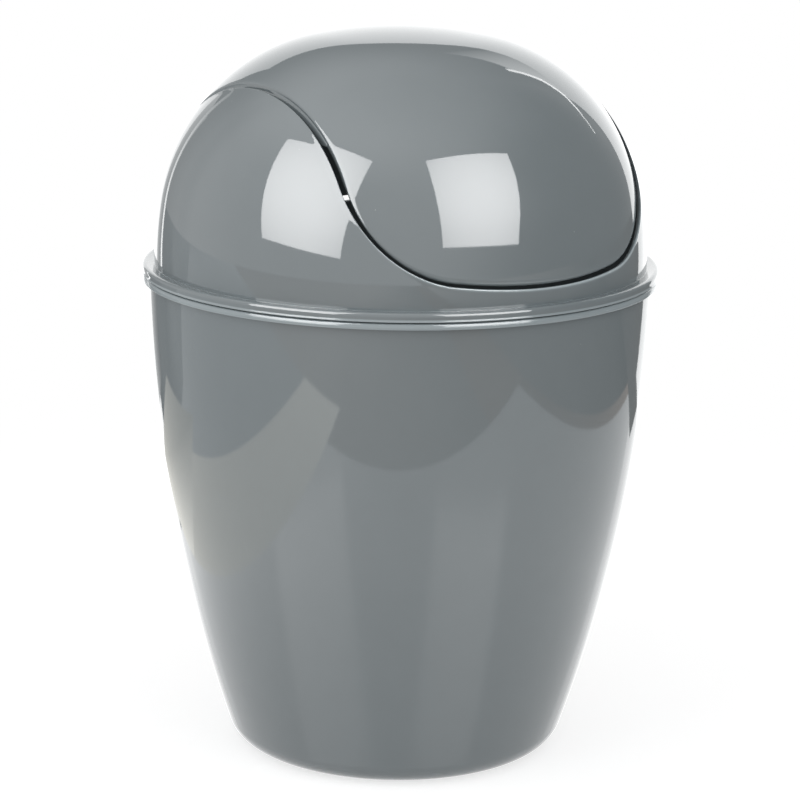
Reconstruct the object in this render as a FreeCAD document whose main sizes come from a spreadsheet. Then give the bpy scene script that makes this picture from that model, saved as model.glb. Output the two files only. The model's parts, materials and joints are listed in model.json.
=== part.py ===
"""Swing-top waste bin: a round bucket, a domed lid collar with two lobes, and a swing flap.

The bin stands on z = 0 with its axis along Z, in millimetres. The flap swings about a line
along X through both lobes, and the front of the bin faces -Y. The lid shells are made the way
they are moulded: an outer form, less a core whose hollows leave bosses and cheeks standing.
"""

import FreeCAD, Part
import math
import os
from enum import IntEnum

import Sketcher
from FreeCAD import Placement, Rotation, Vector

# Driving sizes, in millimetres, with two angles in degrees. Each one can be set by itself.
SIZES = {
    # Bucket
    "body_height": 190.5,           # floor to the flat top of the rim
    "foot_radius": 63.9,            # where the bulging side would meet the floor
    "mouth_radius": 98.8,           # outside of the side at the rim
    "side_radius": 600.0,           # the side's bulge, one arc from floor to rim
    "body_wall": 2.0,
    "base_thickness": 2.2,
    "base_rounding": 13.0,          # outside, where the side turns into the base
    "foot_ring_reach": 19.0,        # from the side's foot in to the recess under the base
    "recess_depth": 1.8,
    "bead_height": 2.4,
    "bead_reach": 2.0,              # how far the rim's bead stands out from the side
    "bead_rounding": 0.8,
    # Lid rim
    "seat_gap": 0.3,                # under the flange, the dark line round the bin
    "flange_height": 3.2,
    "flange_overhang": 0.2,         # past the bead
    "flange_rounding": 1.1,
    "flange_cove": 1.4,             # hollow corner between flange and dome
    "skirt_depth": 8.0,             # locating ring inside the mouth
    "skirt_clearance": 0.6,
    "skirt_wall": 1.8,
    # Dome of the collar
    "collar_wall": 2.0,
    "dome_height": 92.8,            # flange top to the crown, for collar and flap
    "collar_side_radius": 164.0,
    "collar_side_height": 24.0,     # where the side arc turns into the shoulder
    "collar_crown_angle": 12.7,     # degrees, from the axis to where the shoulder begins
    # Seam between collar and flap, seen from the front
    "lobe_depth": 28.6,             # how far each lobe reaches in from the dome's foot
    "seam_rise": 6.3,               # flange top to the lowest point of the seam
    "seam_bottom_radius": 300.0,
    "seam_corner_radius": 35.5,
    "seam_gap": 2.0,
    "seam_rounding": 0.6,           # outer edges of collar and flap along the seam
    # Flap
    "flap_inset": 1.6,              # how far the flap's foot lies inside the dome's
    "flap_wall": 1.8,
    "flap_side_radius": 173.0,
    "flap_side_height": 28.3,
    "flap_crown_angle": 11.2,
    "cheek_wall": 2.0,              # upright plates that hang from the flap's sides
    "cheek_drop": 8.4,              # pivot to the cheeks' lower edge
    # Pivots
    "pivot_drop": 7.6,              # peak of a lobe to the pivot
    "boss_radius": 4.2,
    "hub_radius": 4.2,
    "hub_length": 3.6,              # inwards from a cheek
    "side_play": 0.4,               # hub to boss, along the pivot
    "bore_depth": 3.4,              # blind hole in a boss
    "pin_radius": 1.75,
    "pin_fit": 0.02,                # pin in its hub, tight
    "pin_play": 0.06,               # pin in its boss, running
    "pin_tip_gap": 0.3,
    "pin_tip_chamfer": 0.4,
    "pin_head_radius": 3.2,
    "pin_head_height": 1.6,
    "pin_head_rounding": 0.6,
    # Length by which cutting tools pass what they cut
    "cut_margin": 10.0,
}

# Sizes that follow from the driving ones.
FORMULAS = {
    # The side is one arc: its centre lies off the middle of the chord from foot to mouth.
    "side_chord": "sqrt((mouth_radius - foot_radius)^2 + body_height^2)",
    "side_offset": "sqrt(side_radius^2 - side_chord^2 / 4)",
    "side_center_x": "(foot_radius + mouth_radius) / 2 - side_offset * body_height / side_chord",
    "side_center_z": "body_height / 2 + side_offset * (mouth_radius - foot_radius) / side_chord",
    "inner_side_radius": "side_radius - body_wall",
    "floor_top": "recess_depth + base_thickness",
    "recess_radius": "foot_radius - foot_ring_reach",
    "inner_rounding": "base_rounding - body_wall",
    "bead_radius": "mouth_radius + bead_reach",
    "bead_root": "mouth_radius - body_wall / 2",
    "bead_bottom": "body_height - bead_height",
    # The lid sits on the rim and is centred by its skirt.
    "seat_height": "body_height + seat_gap",
    "flange_top": "seat_height + flange_height",
    "flange_radius": "bead_radius + flange_overhang",
    "skirt_bottom": "seat_height - skirt_depth",
    "mouth_at_skirt": "side_center_x + sqrt(inner_side_radius^2 - (skirt_bottom - side_center_z)^2)",
    "skirt_radius": "mouth_at_skirt - skirt_clearance",
    "throat_radius": "skirt_radius - skirt_wall",
    "collar_radius": "throat_radius + collar_wall",
    "flap_radius": "collar_radius - flap_inset",
    "flap_throat": "flap_radius - flap_wall",
    "dome_top": "flange_top + dome_height",
    "core_bottom": "skirt_bottom - cut_margin",
    "cut_top": "dome_top + cut_margin",
    "frame_top": "cut_top + cut_margin",
    "cut_width": "flange_radius + cut_margin",
    "cut_length": "2 * cut_width",
}

# Both domes are three tangent arcs: side, shoulder and crown. The radii of the shoulder and the
# crown follow from the side, the height and the angle at which they meet.
DOME_FORMULAS = {
    "lean": "{dome}_side_height / {dome}_side_radius",
    "upright": "sqrt(1 - {dome}_lean^2)",
    "side_x": "{dome}_radius - {dome}_side_radius",
    "side_top_x": "{dome}_side_x + {dome}_side_radius * {dome}_upright",
    "side_top_z": "flange_top + {dome}_side_height",
    "slope": "tan({dome}_crown_angle / 2)",
    "rise": "dome_top - {dome}_side_top_z - {dome}_side_top_x * {dome}_slope",
    "shoulder": "{dome}_rise / (1 - {dome}_lean - {dome}_upright * {dome}_slope)",
    "shoulder_x": "{dome}_side_top_x - {dome}_shoulder * {dome}_upright",
    "shoulder_z": "{dome}_side_top_z - {dome}_shoulder * {dome}_lean",
    "crown_radius": "{dome}_shoulder + {dome}_shoulder_x / sin({dome}_crown_angle)",
    "crown_z": "dome_top - {dome}_crown_radius",
}

# The seam, the cheeks and the pivots lie on the finished domes.
SEAM_FORMULAS = {
    "seam_half_width": "collar_radius - lobe_depth",
    "seam_center_z": "flange_top + seam_rise + seam_bottom_radius",
    "flap_half_width": "seam_half_width - seam_gap",
    "flap_bottom_radius": "seam_bottom_radius - seam_gap",
    "flap_corner_radius": "seam_corner_radius - seam_gap",
    "lobe_run": "seam_half_width - collar_shoulder_x",
    "lobe_peak": "collar_shoulder_z + sqrt(collar_shoulder^2 - lobe_run^2)",
    "pivot_height": "lobe_peak - pivot_drop",
    "cheek_bottom": "pivot_height - cheek_drop",
    "cheek_inside": "flap_half_width - cheek_wall",
    "hub_inside": "cheek_inside - hub_length",
    "hub_bore": "pin_radius + pin_fit",
    "hub_reach": "cheek_wall + seam_gap - side_play",
    "boss_bore": "pin_radius + pin_play",
    "pin_head_start": "hub_inside - pin_head_height",
    "pin_tip": "seam_half_width + bore_depth - pin_tip_gap",
    "pin_tip_radius": "pin_radius - pin_tip_chamfer",
    "pin_shank_end": "pin_tip - pin_tip_chamfer",
}


class Sketched(IntEnum):
    """How a sketch numbers its own axes and the points of a line or an arc."""

    VERTICAL_AXIS = -2
    ORIGIN = -1
    START = 1
    END = 2
    CENTER = 3


ORIGIN = Sketched.ORIGIN
VERTICAL_AXIS = Sketched.VERTICAL_AXIS
START = Sketched.START
END = Sketched.END
CENTER = Sketched.CENTER
QUARTER_TURN = math.pi / 2
RIGHT_TURN = 90
EDGE_TOLERANCE = 1e-3
CUTTING_STEPS = ("PartDesign::Pocket", "PartDesign::Groove", "PartDesign::Boolean")


def make_sheet(doc):
    """Write the driving sizes as plain numbers, then the sizes that follow as formulas."""
    sheet = doc.addObject("Spreadsheet::Sheet", "Sizes")
    cells = {name: str(number) for name, number in SIZES.items()}
    cells.update({name: "=" + formula for name, formula in FORMULAS.items()})
    for dome in ("collar", "flap"):
        for name, formula in DOME_FORMULAS.items():
            cells[f"{dome}_{name}"] = "=" + formula.format(dome=dome)
    cells.update({name: "=" + formula for name, formula in SEAM_FORMULAS.items()})
    for row, (name, content) in enumerate(cells.items(), start=1):
        sheet.set(f"A{row}", name)
        sheet.set(f"B{row}", content)
        sheet.setAlias(f"B{row}", name)
    doc.recompute()
    return sheet


class Builder:
    """The document, its sheet of sizes, and the few steps that every piece is made with."""

    def __init__(self):
        self.doc = FreeCAD.newDocument("swing_bin")
        self.sheet = make_sheet(self.doc)

    def size(self, name):
        """A size from the sheet; a leading minus sign turns it round."""
        if name.startswith("-"):
            return -float(self.sheet.get(name[1:]))
        return float(self.sheet.get(name))

    def link(self, name):
        """The same size as an expression."""
        return "-Sizes." + name[1:] if name.startswith("-") else "Sizes." + name

    def body(self, label):
        """A new body whose label names its file."""
        body = self.doc.addObject("PartDesign::Body", label)
        body.Label = label
        return body

    def plane(self, body, role):
        """One of the body's own origin planes."""
        return next(item for item in body.Origin.OriginFeatures if item.Role == role)

    def sketch(self, body, label, role, offset=None):
        """A sketch on one of the body's origin planes, moved along its normal by a named size."""
        sketch = body.newObject("Sketcher::SketchObject", label)
        sketch.AttachmentSupport = [(self.plane(body, role), "")]
        sketch.MapMode = "FlatFace"
        if offset:
            sketch.setExpression("AttachmentOffset.Base.z", self.link(offset))
        return sketch

    def bind(self, sketch, label, expression, *constraint):
        """Add a constraint with a value, name it and tie it to the sheet."""
        index = sketch.addConstraint(Sketcher.Constraint(*constraint))
        sketch.renameConstraint(index, label)
        sketch.setExpression("Constraints." + label, expression)

    def pin_point(self, sketch, geometry, end, across, up):
        """Tie one point of a sketch to two named sizes; None keeps it on the vertical axis."""
        mark = f"{geometry}_{end}"
        if across is None:
            sketch.addConstraint(Sketcher.Constraint("PointOnObject", geometry, end, VERTICAL_AXIS))
        else:
            value = self.size(across)
            self.bind(sketch, "across_" + mark, self.link(across),
                      "DistanceX", ORIGIN, START, geometry, end, value)
        self.bind(sketch, "up_" + mark, self.link(up),
                  "DistanceY", ORIGIN, START, geometry, end, self.size(up))

    def chain(self, sketch, corners, closed):
        """Straight lines through corners given as pairs of named sizes. Returns the line numbers."""
        points = [Vector(self.size(x) if x else 0, self.size(z), 0) for x, z in corners]
        ends = points[1:] + points[:1] if closed else points[1:]
        lines = [sketch.addGeometry(Part.LineSegment(a, b), False) for a, b in zip(points, ends)]
        for line, follower in zip(lines, lines[1:]):
            sketch.addConstraint(Sketcher.Constraint("Coincident", line, END, follower, START))
        for line, corner in zip(lines, corners):
            self.pin_point(sketch, line, START, *corner)
        if closed:
            sketch.addConstraint(Sketcher.Constraint("Coincident", lines[-1], END, lines[0], START))
        else:
            self.pin_point(sketch, lines[-1], END, *corners[-1])
        return lines

    def circle(self, sketch, radius, up):
        """A circle on the sketch's vertical axis."""
        center = Vector(0, self.size(up), 0)
        ring = sketch.addGeometry(Part.Circle(center, Vector(0, 0, 1), self.size(radius)), False)
        self.pin_point(sketch, ring, CENTER, None, up)
        self.bind(sketch, "ring_radius", self.link(radius), "Radius", ring, self.size(radius))

    def feature(self, body, kind, label, profile):
        """A feature of a body made from a sketch; later features build on it."""
        feature = body.newObject("PartDesign::" + kind, label)
        feature.Profile = profile
        if kind in ("Revolution", "Groove"):
            feature.ReferenceAxis = (profile, ["V_Axis"])
            feature.Angle = 360
        return feature

    def both_ways(self, feature):
        """Run a pad or pocket right through, both ways from its sketch."""
        feature.SideType = "Symmetric"
        feature.setExpression("Length", self.link("cut_length"))
        return feature

    def outwards(self, feature, length):
        """Run a pad or pocket along +X from its sketch, by a named size."""
        feature.Reversed = feature.TypeId.endswith("Pocket")
        feature.setExpression("Length", self.link(length))
        return feature

    def mirror(self, body, label, feature):
        """Repeat a feature on the other side of the YZ plane."""
        mirrored = body.newObject("PartDesign::Mirrored", label)
        mirrored.Originals = [feature]
        mirrored.MirrorPlane = (self.plane(body, "YZ_Plane"), [""])
        body.Tip = mirrored
        return mirrored

    def round_edge(self, body, label, radius, edge_radius, edge_height):
        """Fillet the circular edges that have the given radius and height."""
        self.doc.recompute()
        base = body.Tip
        names = []
        for number, edge in enumerate(base.Shape.Edges, start=1):
            if edge.Degenerated or not isinstance(edge.Curve, Part.Circle):
                continue
            radius_error = abs(edge.Curve.Radius - edge_radius)
            height_error = abs(edge.Curve.Center.z - edge_height)
            if max(radius_error, height_error) < EDGE_TOLERANCE:
                names.append(f"Edge{number}")
        if not names:
            raise RuntimeError(f"no edge to round for {label}")
        fillet = body.newObject("PartDesign::Fillet", label)
        fillet.Base = (base, names)
        fillet.setExpression("Radius", self.link(radius))

    def round_seam(self, body, label, form):
        """Fillet the edges that a seam has cut into the outside of a revolved form."""
        self.doc.recompute()
        base = body.Tip
        names = []
        for number, edge in enumerate(base.Shape.Edges, start=1):
            if edge.Degenerated or isinstance(edge.Curve, Part.Circle):
                continue
            middle = edge.valueAt((edge.FirstParameter + edge.LastParameter) / 2)
            if form.Shape.Shells[0].distToShape(Part.Vertex(middle))[0] < EDGE_TOLERANCE:
                names.append(f"Edge{number}")
        if not names:
            raise RuntimeError(f"no edge to round for {label}")
        fillet = body.newObject("PartDesign::Fillet", label)
        fillet.Base = (base, names)
        fillet.setExpression("Radius", self.link("seam_rounding"))

    def subtract(self, body, label, core):
        """Take a core body out of a body."""
        cut = body.newObject("PartDesign::Boolean", label)
        cut.Type = "Cut"
        cut.setObjects([core])
        body.Tip = cut
        return cut


def arc_between(center, radius, start, end):
    """The arc that runs anticlockwise from one point to another round a centre."""
    circle = Part.Circle(center, Vector(0, 0, 1), radius)
    first = math.atan2(start.y - center.y, start.x - center.x)
    last = math.atan2(end.y - center.y, end.x - center.x)
    return Part.ArcOfCircle(circle, first, last)


def dome_section(builder, body, label, dome, foot, wall=None):
    """Half-section of a solid dome: straight foot lines, then side, shoulder and crown arcs.

    A named wall makes the inside of the same dome, whose arcs have the same centres.
    """
    size = builder.size
    inset = size(wall) if wall else 0
    less = f" - Sizes.{wall}" if wall else ""
    sketch = builder.sketch(body, label, "XZ_Plane")
    lines = builder.chain(sketch, foot, closed=False)
    side_radius = size(f"{dome}_side_radius") - inset
    shoulder_radius = size(f"{dome}_shoulder") - inset
    crown_radius = size(f"{dome}_crown_radius") - inset
    side_center = Vector(size(f"{dome}_side_x"), size("flange_top"), 0)
    shoulder_center = Vector(size(f"{dome}_shoulder_x"), size(f"{dome}_shoulder_z"), 0)
    crown_center = Vector(0, size(f"{dome}_crown_z"), 0)
    start = side_center + Vector(side_radius, 0, 0)
    outward = (shoulder_center - side_center).normalize()
    side_top = side_center + outward * side_radius
    upward = (shoulder_center - crown_center).normalize()
    shoulder_top = crown_center + upward * crown_radius
    crown_top = crown_center + Vector(0, crown_radius, 0)
    side = sketch.addGeometry(arc_between(side_center, side_radius, start, side_top), False)
    shoulder = sketch.addGeometry(
        arc_between(shoulder_center, shoulder_radius, side_top, shoulder_top), False)
    crown = sketch.addGeometry(arc_between(crown_center, crown_radius, shoulder_top, crown_top), False)
    axis = sketch.addGeometry(Part.LineSegment(crown_top, Vector(0, size(foot[0][1]), 0)), False)
    for constraint in (
        ("Coincident", lines[-1], END, side, START),
        ("Horizontal", side, CENTER, side, START),
        ("Tangent", side, END, shoulder, START),
        ("Tangent", shoulder, END, crown, START),
        ("PointOnObject", crown, CENTER, VERTICAL_AXIS),
        ("PointOnObject", crown, END, VERTICAL_AXIS),
        ("Coincident", crown, END, axis, START),
        ("Coincident", axis, END, lines[0], START),
    ):
        sketch.addConstraint(Sketcher.Constraint(*constraint))
    builder.bind(sketch, "side_radius", f"Sizes.{dome}_side_radius{less}", "Radius", side, side_radius)
    builder.bind(sketch, "crown_radius", f"Sizes.{dome}_crown_radius{less}", "Radius", crown, crown_radius)
    side_rise = f"Sizes.{dome}_lean * (Sizes.{dome}_side_radius{less})"
    builder.bind(sketch, "side_top", "Sizes.flange_top + " + side_rise,
                 "DistanceY", ORIGIN, START, side, END, side_top.y)
    builder.bind(sketch, "crown_top", f"Sizes.dome_top{less}",
                 "DistanceY", ORIGIN, START, crown, END, crown_top.y)
    return sketch


def seam_outline(builder, sketch, half_width, bottom_radius, corner_radius):
    """The seam from the front: a shallow bottom arc, two corner arcs and upright sides."""
    size = builder.size
    width = size(half_width)
    bottom = size(bottom_radius)
    corner = size(corner_radius)
    top = size("cut_top")
    bottom_center = Vector(0, size("seam_center_z"), 0)
    corner_x = width - corner
    corner_z = bottom_center.y - math.sqrt((bottom - corner) ** 2 - corner_x ** 2)
    corner_center = Vector(corner_x, corner_z, 0)
    meeting = bottom_center + (corner_center - bottom_center).normalize() * bottom
    mirrored_center = Vector(-corner_x, corner_z, 0)
    mirrored_meeting = Vector(-meeting.x, meeting.y, 0)
    right_foot = Vector(width, corner_z, 0)
    left_foot = Vector(-width, corner_z, 0)
    right_top = Vector(width, top, 0)
    left_top = Vector(-width, top, 0)
    left_corner = Part.ArcOfCircle(
        Part.Circle(mirrored_center, Vector(0, 0, 1), corner), math.pi,
        math.pi + QUARTER_TURN - math.atan2(meeting.x, bottom_center.y - meeting.y))
    geometry = (
        left_corner,
        arc_between(bottom_center, bottom, mirrored_meeting, meeting),
        arc_between(corner_center, corner, meeting, right_foot),
        Part.LineSegment(right_foot, right_top),
        Part.LineSegment(right_top, left_top),
        Part.LineSegment(left_top, left_foot),
    )
    left_arc, bottom_arc, right_arc, right, lid, left = [sketch.addGeometry(item, False) for item in geometry]
    for constraint in (
        ("Tangent", left_arc, END, bottom_arc, START),
        ("Tangent", bottom_arc, END, right_arc, START),
        ("Tangent", right_arc, END, right, START),
        ("Tangent", left, END, left_arc, START),
        ("Coincident", right, END, lid, START),
        ("Coincident", lid, END, left, START),
        ("Vertical", right),
        ("Vertical", left),
        ("Horizontal", lid),
        ("Equal", left_arc, right_arc),
        ("PointOnObject", bottom_arc, CENTER, VERTICAL_AXIS),
    ):
        sketch.addConstraint(Sketcher.Constraint(*constraint))
    builder.bind(sketch, "bottom_center", "Sizes.seam_center_z",
                 "DistanceY", ORIGIN, START, bottom_arc, CENTER, bottom_center.y)
    builder.bind(sketch, "bottom_radius", "Sizes." + bottom_radius, "Radius", bottom_arc, bottom)
    builder.bind(sketch, "corner_radius", "Sizes." + corner_radius, "Radius", right_arc, corner)
    builder.bind(sketch, "right_side", "Sizes." + half_width,
                 "DistanceX", ORIGIN, START, right, END, width)
    builder.bind(sketch, "left_side", "-Sizes." + half_width,
                 "DistanceX", ORIGIN, START, left, START, -width)
    builder.bind(sketch, "cut_top", "Sizes.cut_top", "DistanceY", ORIGIN, START, right, END, top)


def make_bucket(builder):
    """Round bucket: a bulging wall on a recessed base, with a bead round the mouth."""
    size = builder.size
    body = builder.body("bin_body")
    section = builder.sketch(body, "bucket_section", "XZ_Plane")
    center = Vector(size("side_center_x"), size("side_center_z"), 0)
    outer = size("side_radius")
    inner = size("inner_side_radius")
    foot = Vector(size("foot_radius"), 0, 0)
    mouth = Vector(size("mouth_radius"), size("body_height"), 0)

    def on_inner_arc(height):
        reach = math.sqrt(inner ** 2 - (height - center.y) ** 2)
        return Vector(center.x + reach, height, 0)

    inner_foot = on_inner_arc(size("floor_top"))
    inner_mouth = on_inner_arc(size("body_height"))
    floor_middle = Vector(0, size("floor_top"), 0)
    geometry = (
        Part.LineSegment(Vector(0, 0, 0), foot),
        arc_between(center, outer, foot, mouth),
        Part.LineSegment(mouth, inner_mouth),
        arc_between(center, inner, inner_foot, inner_mouth),
        Part.LineSegment(inner_foot, floor_middle),
        Part.LineSegment(floor_middle, Vector(0, 0, 0)),
    )
    base, side, rim, inside, floor, axis = [section.addGeometry(item, False) for item in geometry]
    for constraint in (
        ("Coincident", base, START, ORIGIN, START),
        ("Horizontal", base),
        ("Coincident", base, END, side, START),
        ("Coincident", side, END, rim, START),
        ("Horizontal", rim),
        ("Coincident", rim, END, inside, END),
        ("Coincident", inside, CENTER, side, CENTER),
        ("Coincident", inside, START, floor, START),
        ("Horizontal", floor),
        ("Coincident", floor, END, axis, START),
        ("Coincident", axis, END, base, START),
        ("Vertical", axis),
    ):
        section.addConstraint(Sketcher.Constraint(*constraint))
    builder.bind(section, "foot_radius", "Sizes.foot_radius", "DistanceX", base, START, base, END, foot.x)
    builder.pin_point(section, side, END, "mouth_radius", "body_height")
    builder.bind(section, "side_radius", "Sizes.side_radius", "Radius", side, outer)
    builder.bind(section, "inner_side_radius", "Sizes.inner_side_radius", "Radius", inside, inner)
    builder.bind(section, "floor_top", "Sizes.floor_top",
                 "DistanceY", ORIGIN, START, floor, END, floor_middle.y)
    builder.feature(body, "Revolution", "bucket", section)
    builder.round_edge(body, "base_rounding_edge", "base_rounding", foot.x, foot.y)
    builder.round_edge(body, "inner_rounding_edge", "inner_rounding", inner_foot.x, inner_foot.y)

    recess = builder.sketch(body, "base_recess_outline", "XZ_Plane")
    builder.chain(recess, [(None, "-cut_margin"), ("recess_radius", "-cut_margin"),
                           ("recess_radius", "recess_depth"), (None, "recess_depth")], closed=True)
    builder.feature(body, "Groove", "base_recess", recess)
    bead = builder.sketch(body, "bead_section", "XZ_Plane")
    builder.chain(bead, [("bead_root", "bead_bottom"), ("bead_radius", "bead_bottom"),
                         ("bead_radius", "body_height"), ("bead_root", "body_height")], closed=True)
    builder.feature(body, "Revolution", "bead", bead)
    builder.round_edge(body, "bead_top_edge", "bead_rounding", size("bead_radius"), size("body_height"))
    builder.round_edge(body, "bead_bottom_edge", "bead_rounding", size("bead_radius"), size("bead_bottom"))
    return body


def make_collar(builder):
    """Lid collar: flange, skirt and domed wall, cut away in front and behind to leave two lobes."""
    core = builder.body("collar_core")
    inside = dome_section(builder, core, "collar_core_section", "collar", [
        (None, "core_bottom"), ("throat_radius", "core_bottom"), ("throat_radius", "flange_top"),
    ], wall="collar_wall")
    builder.feature(core, "Revolution", "collar_core_form", inside)
    boss = builder.sketch(core, "boss_outline", "YZ_Plane", "seam_half_width")
    builder.circle(boss, "boss_radius", "pivot_height")
    boss_hollow = builder.outwards(builder.feature(core, "Pocket", "boss_hollow", boss), "lobe_depth")
    builder.mirror(core, "boss_hollows", boss_hollow)

    body = builder.body("lid_collar")
    outside = dome_section(builder, body, "collar_section", "collar", [
        (None, "skirt_bottom"), ("skirt_radius", "skirt_bottom"), ("skirt_radius", "seat_height"),
        ("flange_radius", "seat_height"), ("flange_radius", "flange_top"), ("collar_radius", "flange_top"),
    ])
    form = builder.feature(body, "Revolution", "collar_form", outside)
    flange_top = builder.size("flange_top")
    builder.round_edge(body, "flange_edge", "flange_rounding", builder.size("flange_radius"), flange_top)
    builder.round_edge(body, "flange_corner", "flange_cove", builder.size("collar_radius"), flange_top)
    builder.subtract(body, "collar_hollow", core)
    seam = builder.sketch(body, "seam", "XZ_Plane")
    seam_outline(builder, seam, "seam_half_width", "seam_bottom_radius", "seam_corner_radius")
    builder.both_ways(builder.feature(body, "Pocket", "flap_opening", seam))
    builder.round_seam(body, "lobe_edges", form)
    bore = builder.sketch(body, "boss_bore_outline", "YZ_Plane", "seam_half_width")
    builder.circle(bore, "boss_bore", "pivot_height")
    boss_hole = builder.outwards(builder.feature(body, "Pocket", "boss_hole", bore), "bore_depth")
    builder.mirror(body, "boss_holes", boss_hole)
    return body


def make_flap(builder):
    """Swing flap: a strip of dome that follows the seam, with a cheek and a hub at each side."""
    core = builder.body("flap_core")
    inside = dome_section(builder, core, "flap_core_section", "flap", [
        (None, "core_bottom"), ("flap_throat", "core_bottom"), ("flap_throat", "flange_top"),
    ], wall="flap_wall")
    builder.feature(core, "Revolution", "flap_core_form", inside)
    cheek = builder.sketch(core, "cheek_outline", "XZ_Plane")
    builder.chain(cheek, [("cheek_inside", "cheek_bottom"), ("cut_width", "cheek_bottom"),
                          ("cut_width", "cut_top"), ("cheek_inside", "cut_top")], closed=True)
    cheek_hollow = builder.both_ways(builder.feature(core, "Pocket", "cheek_hollow", cheek))
    builder.mirror(core, "cheek_hollows", cheek_hollow)
    hub = builder.sketch(core, "hub_outline", "YZ_Plane", "hub_inside")
    builder.circle(hub, "hub_radius", "pivot_height")
    hub_hollow = builder.outwards(builder.feature(core, "Pocket", "hub_hollow", hub), "lobe_depth")
    builder.mirror(core, "hub_hollows", hub_hollow)

    body = builder.body("swing_flap")
    outside = dome_section(builder, body, "flap_section", "flap", [
        (None, "seat_height"), ("flap_radius", "seat_height"), ("flap_radius", "flange_top"),
    ])
    form = builder.feature(body, "Revolution", "flap_form", outside)
    builder.subtract(body, "flap_hollow", core)
    edge = builder.sketch(body, "flap_edge", "XZ_Plane")
    seam_outline(builder, edge, "flap_half_width", "flap_bottom_radius", "flap_corner_radius")
    builder.chain(edge, [("-cut_width", "core_bottom"), ("cut_width", "core_bottom"),
                         ("cut_width", "frame_top"), ("-cut_width", "frame_top")], closed=True)
    builder.both_ways(builder.feature(body, "Pocket", "flap_trim", edge))
    builder.round_seam(body, "flap_edges", form)
    collar = builder.sketch(body, "hub_collar_outline", "YZ_Plane", "cheek_inside")
    builder.circle(collar, "hub_radius", "pivot_height")
    hub_collar = builder.outwards(builder.feature(body, "Pad", "hub_collar", collar), "hub_reach")
    builder.mirror(body, "hub_collars", hub_collar)
    bore = builder.sketch(body, "hub_bore_outline", "YZ_Plane", "pin_head_start")
    builder.circle(bore, "hub_bore", "pivot_height")
    hub_hole = builder.outwards(builder.feature(body, "Pocket", "hub_hole", bore), "lobe_depth")
    builder.mirror(body, "hub_holes", hub_hole)
    return body


def make_pin(builder, label, turn):
    """Pivot pin: a rounded head inside the flap's hub and a shank that ends in the collar's boss.

    It is drawn upright, at its distance from the bin's axis, and then laid along the pivot.
    """
    body = builder.body(label)
    section = builder.sketch(body, label + "_section", "XZ_Plane")
    builder.chain(section, [
        (None, "pin_head_start"), ("pin_head_radius", "pin_head_start"),
        ("pin_head_radius", "hub_inside"), ("pin_radius", "hub_inside"),
        ("pin_radius", "pin_shank_end"), ("pin_tip_radius", "pin_tip"), (None, "pin_tip"),
    ], closed=True)
    builder.feature(body, "Revolution", label + "_form", section)
    builder.round_edge(body, label + "_head", "pin_head_rounding",
                       builder.size("pin_head_radius"), builder.size("pin_head_start"))
    body.Placement = Placement(Vector(0, 0, 0), Rotation(Vector(0, 1, 0), turn))
    body.setExpression("Placement.Base.z", "Sizes.pivot_height")
    return body


def check(doc, pieces):
    """Stop if a step failed, a cut removed nothing, or a piece isn't one valid solid."""
    failed = [item.Label for item in doc.Objects if {"Invalid", "Error"} & set(item.State)]
    if failed:
        raise RuntimeError(f"failed steps: {failed}")
    for item in doc.Objects:
        if item.TypeId in CUTTING_STEPS and item.Shape.Volume >= item.BaseFeature.Shape.Volume:
            raise RuntimeError(f"{item.Label} cuts nothing")
    for piece in pieces:
        if piece.Shape.isNull() or not piece.Shape.isValid() or len(piece.Shape.Solids) != 1:
            raise RuntimeError(f"{piece.Label} is not one valid solid")


def main():
    """Build every piece, check the document and write one file for each piece."""
    builder = Builder()
    pieces = [
        make_bucket(builder),
        make_collar(builder),
        make_flap(builder),
        make_pin(builder, "pivot_pin_right", RIGHT_TURN),
        make_pin(builder, "pivot_pin_left", -RIGHT_TURN),
    ]
    builder.doc.recompute()
    check(builder.doc, pieces)
    os.makedirs("parts", exist_ok=True)
    for piece in pieces:
        piece.Shape.exportStep(f"parts/{piece.Label}.step")
        print(f"{piece.Label}: {piece.Shape.Volume:.0f} mm3")
    print(f"pivot height: {builder.size('pivot_height'):.3f} mm")


main()
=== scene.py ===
"""Looks of a swing-top waste bin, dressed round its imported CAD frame.

Everything is in metres in the frame's own axes: +Z up the bin's axis, X along the flap's pivot and -Y
to the front. The three mouldings are surfaces worked out with numpy from a few outlines, so that
their gloss is smooth, and each one stands for the solid that it replaces.
"""
import json
import logging
import math
from dataclasses import dataclass
from enum import Enum

import bpy
import numpy as np
from mathutils import Matrix, Vector


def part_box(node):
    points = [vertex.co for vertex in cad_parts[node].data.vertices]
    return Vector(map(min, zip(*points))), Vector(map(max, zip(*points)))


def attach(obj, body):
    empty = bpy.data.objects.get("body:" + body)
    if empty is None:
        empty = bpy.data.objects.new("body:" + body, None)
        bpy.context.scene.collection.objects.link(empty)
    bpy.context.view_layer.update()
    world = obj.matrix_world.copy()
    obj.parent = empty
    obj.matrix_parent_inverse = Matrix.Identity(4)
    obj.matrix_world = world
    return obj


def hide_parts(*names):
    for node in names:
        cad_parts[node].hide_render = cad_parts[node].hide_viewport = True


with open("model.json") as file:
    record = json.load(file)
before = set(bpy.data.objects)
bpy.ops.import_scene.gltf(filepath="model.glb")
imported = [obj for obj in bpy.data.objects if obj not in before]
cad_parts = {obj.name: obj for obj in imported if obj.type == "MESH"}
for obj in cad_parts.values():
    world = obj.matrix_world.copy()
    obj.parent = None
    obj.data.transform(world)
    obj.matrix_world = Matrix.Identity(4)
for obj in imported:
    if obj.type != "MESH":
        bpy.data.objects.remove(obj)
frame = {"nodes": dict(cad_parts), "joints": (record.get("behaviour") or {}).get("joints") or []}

MM = 0.001
FULL_TURN = 2.0 * math.pi
HALF_TURN = math.pi
QUARTER_TURN = math.pi / 2.0
EDGE_HIGHLIGHT_ATTRIBUTE = "edge_highlight_and_wear"
SHINE_ATTRIBUTE = "shine"
CARD_MAP = "card_map"
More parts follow.
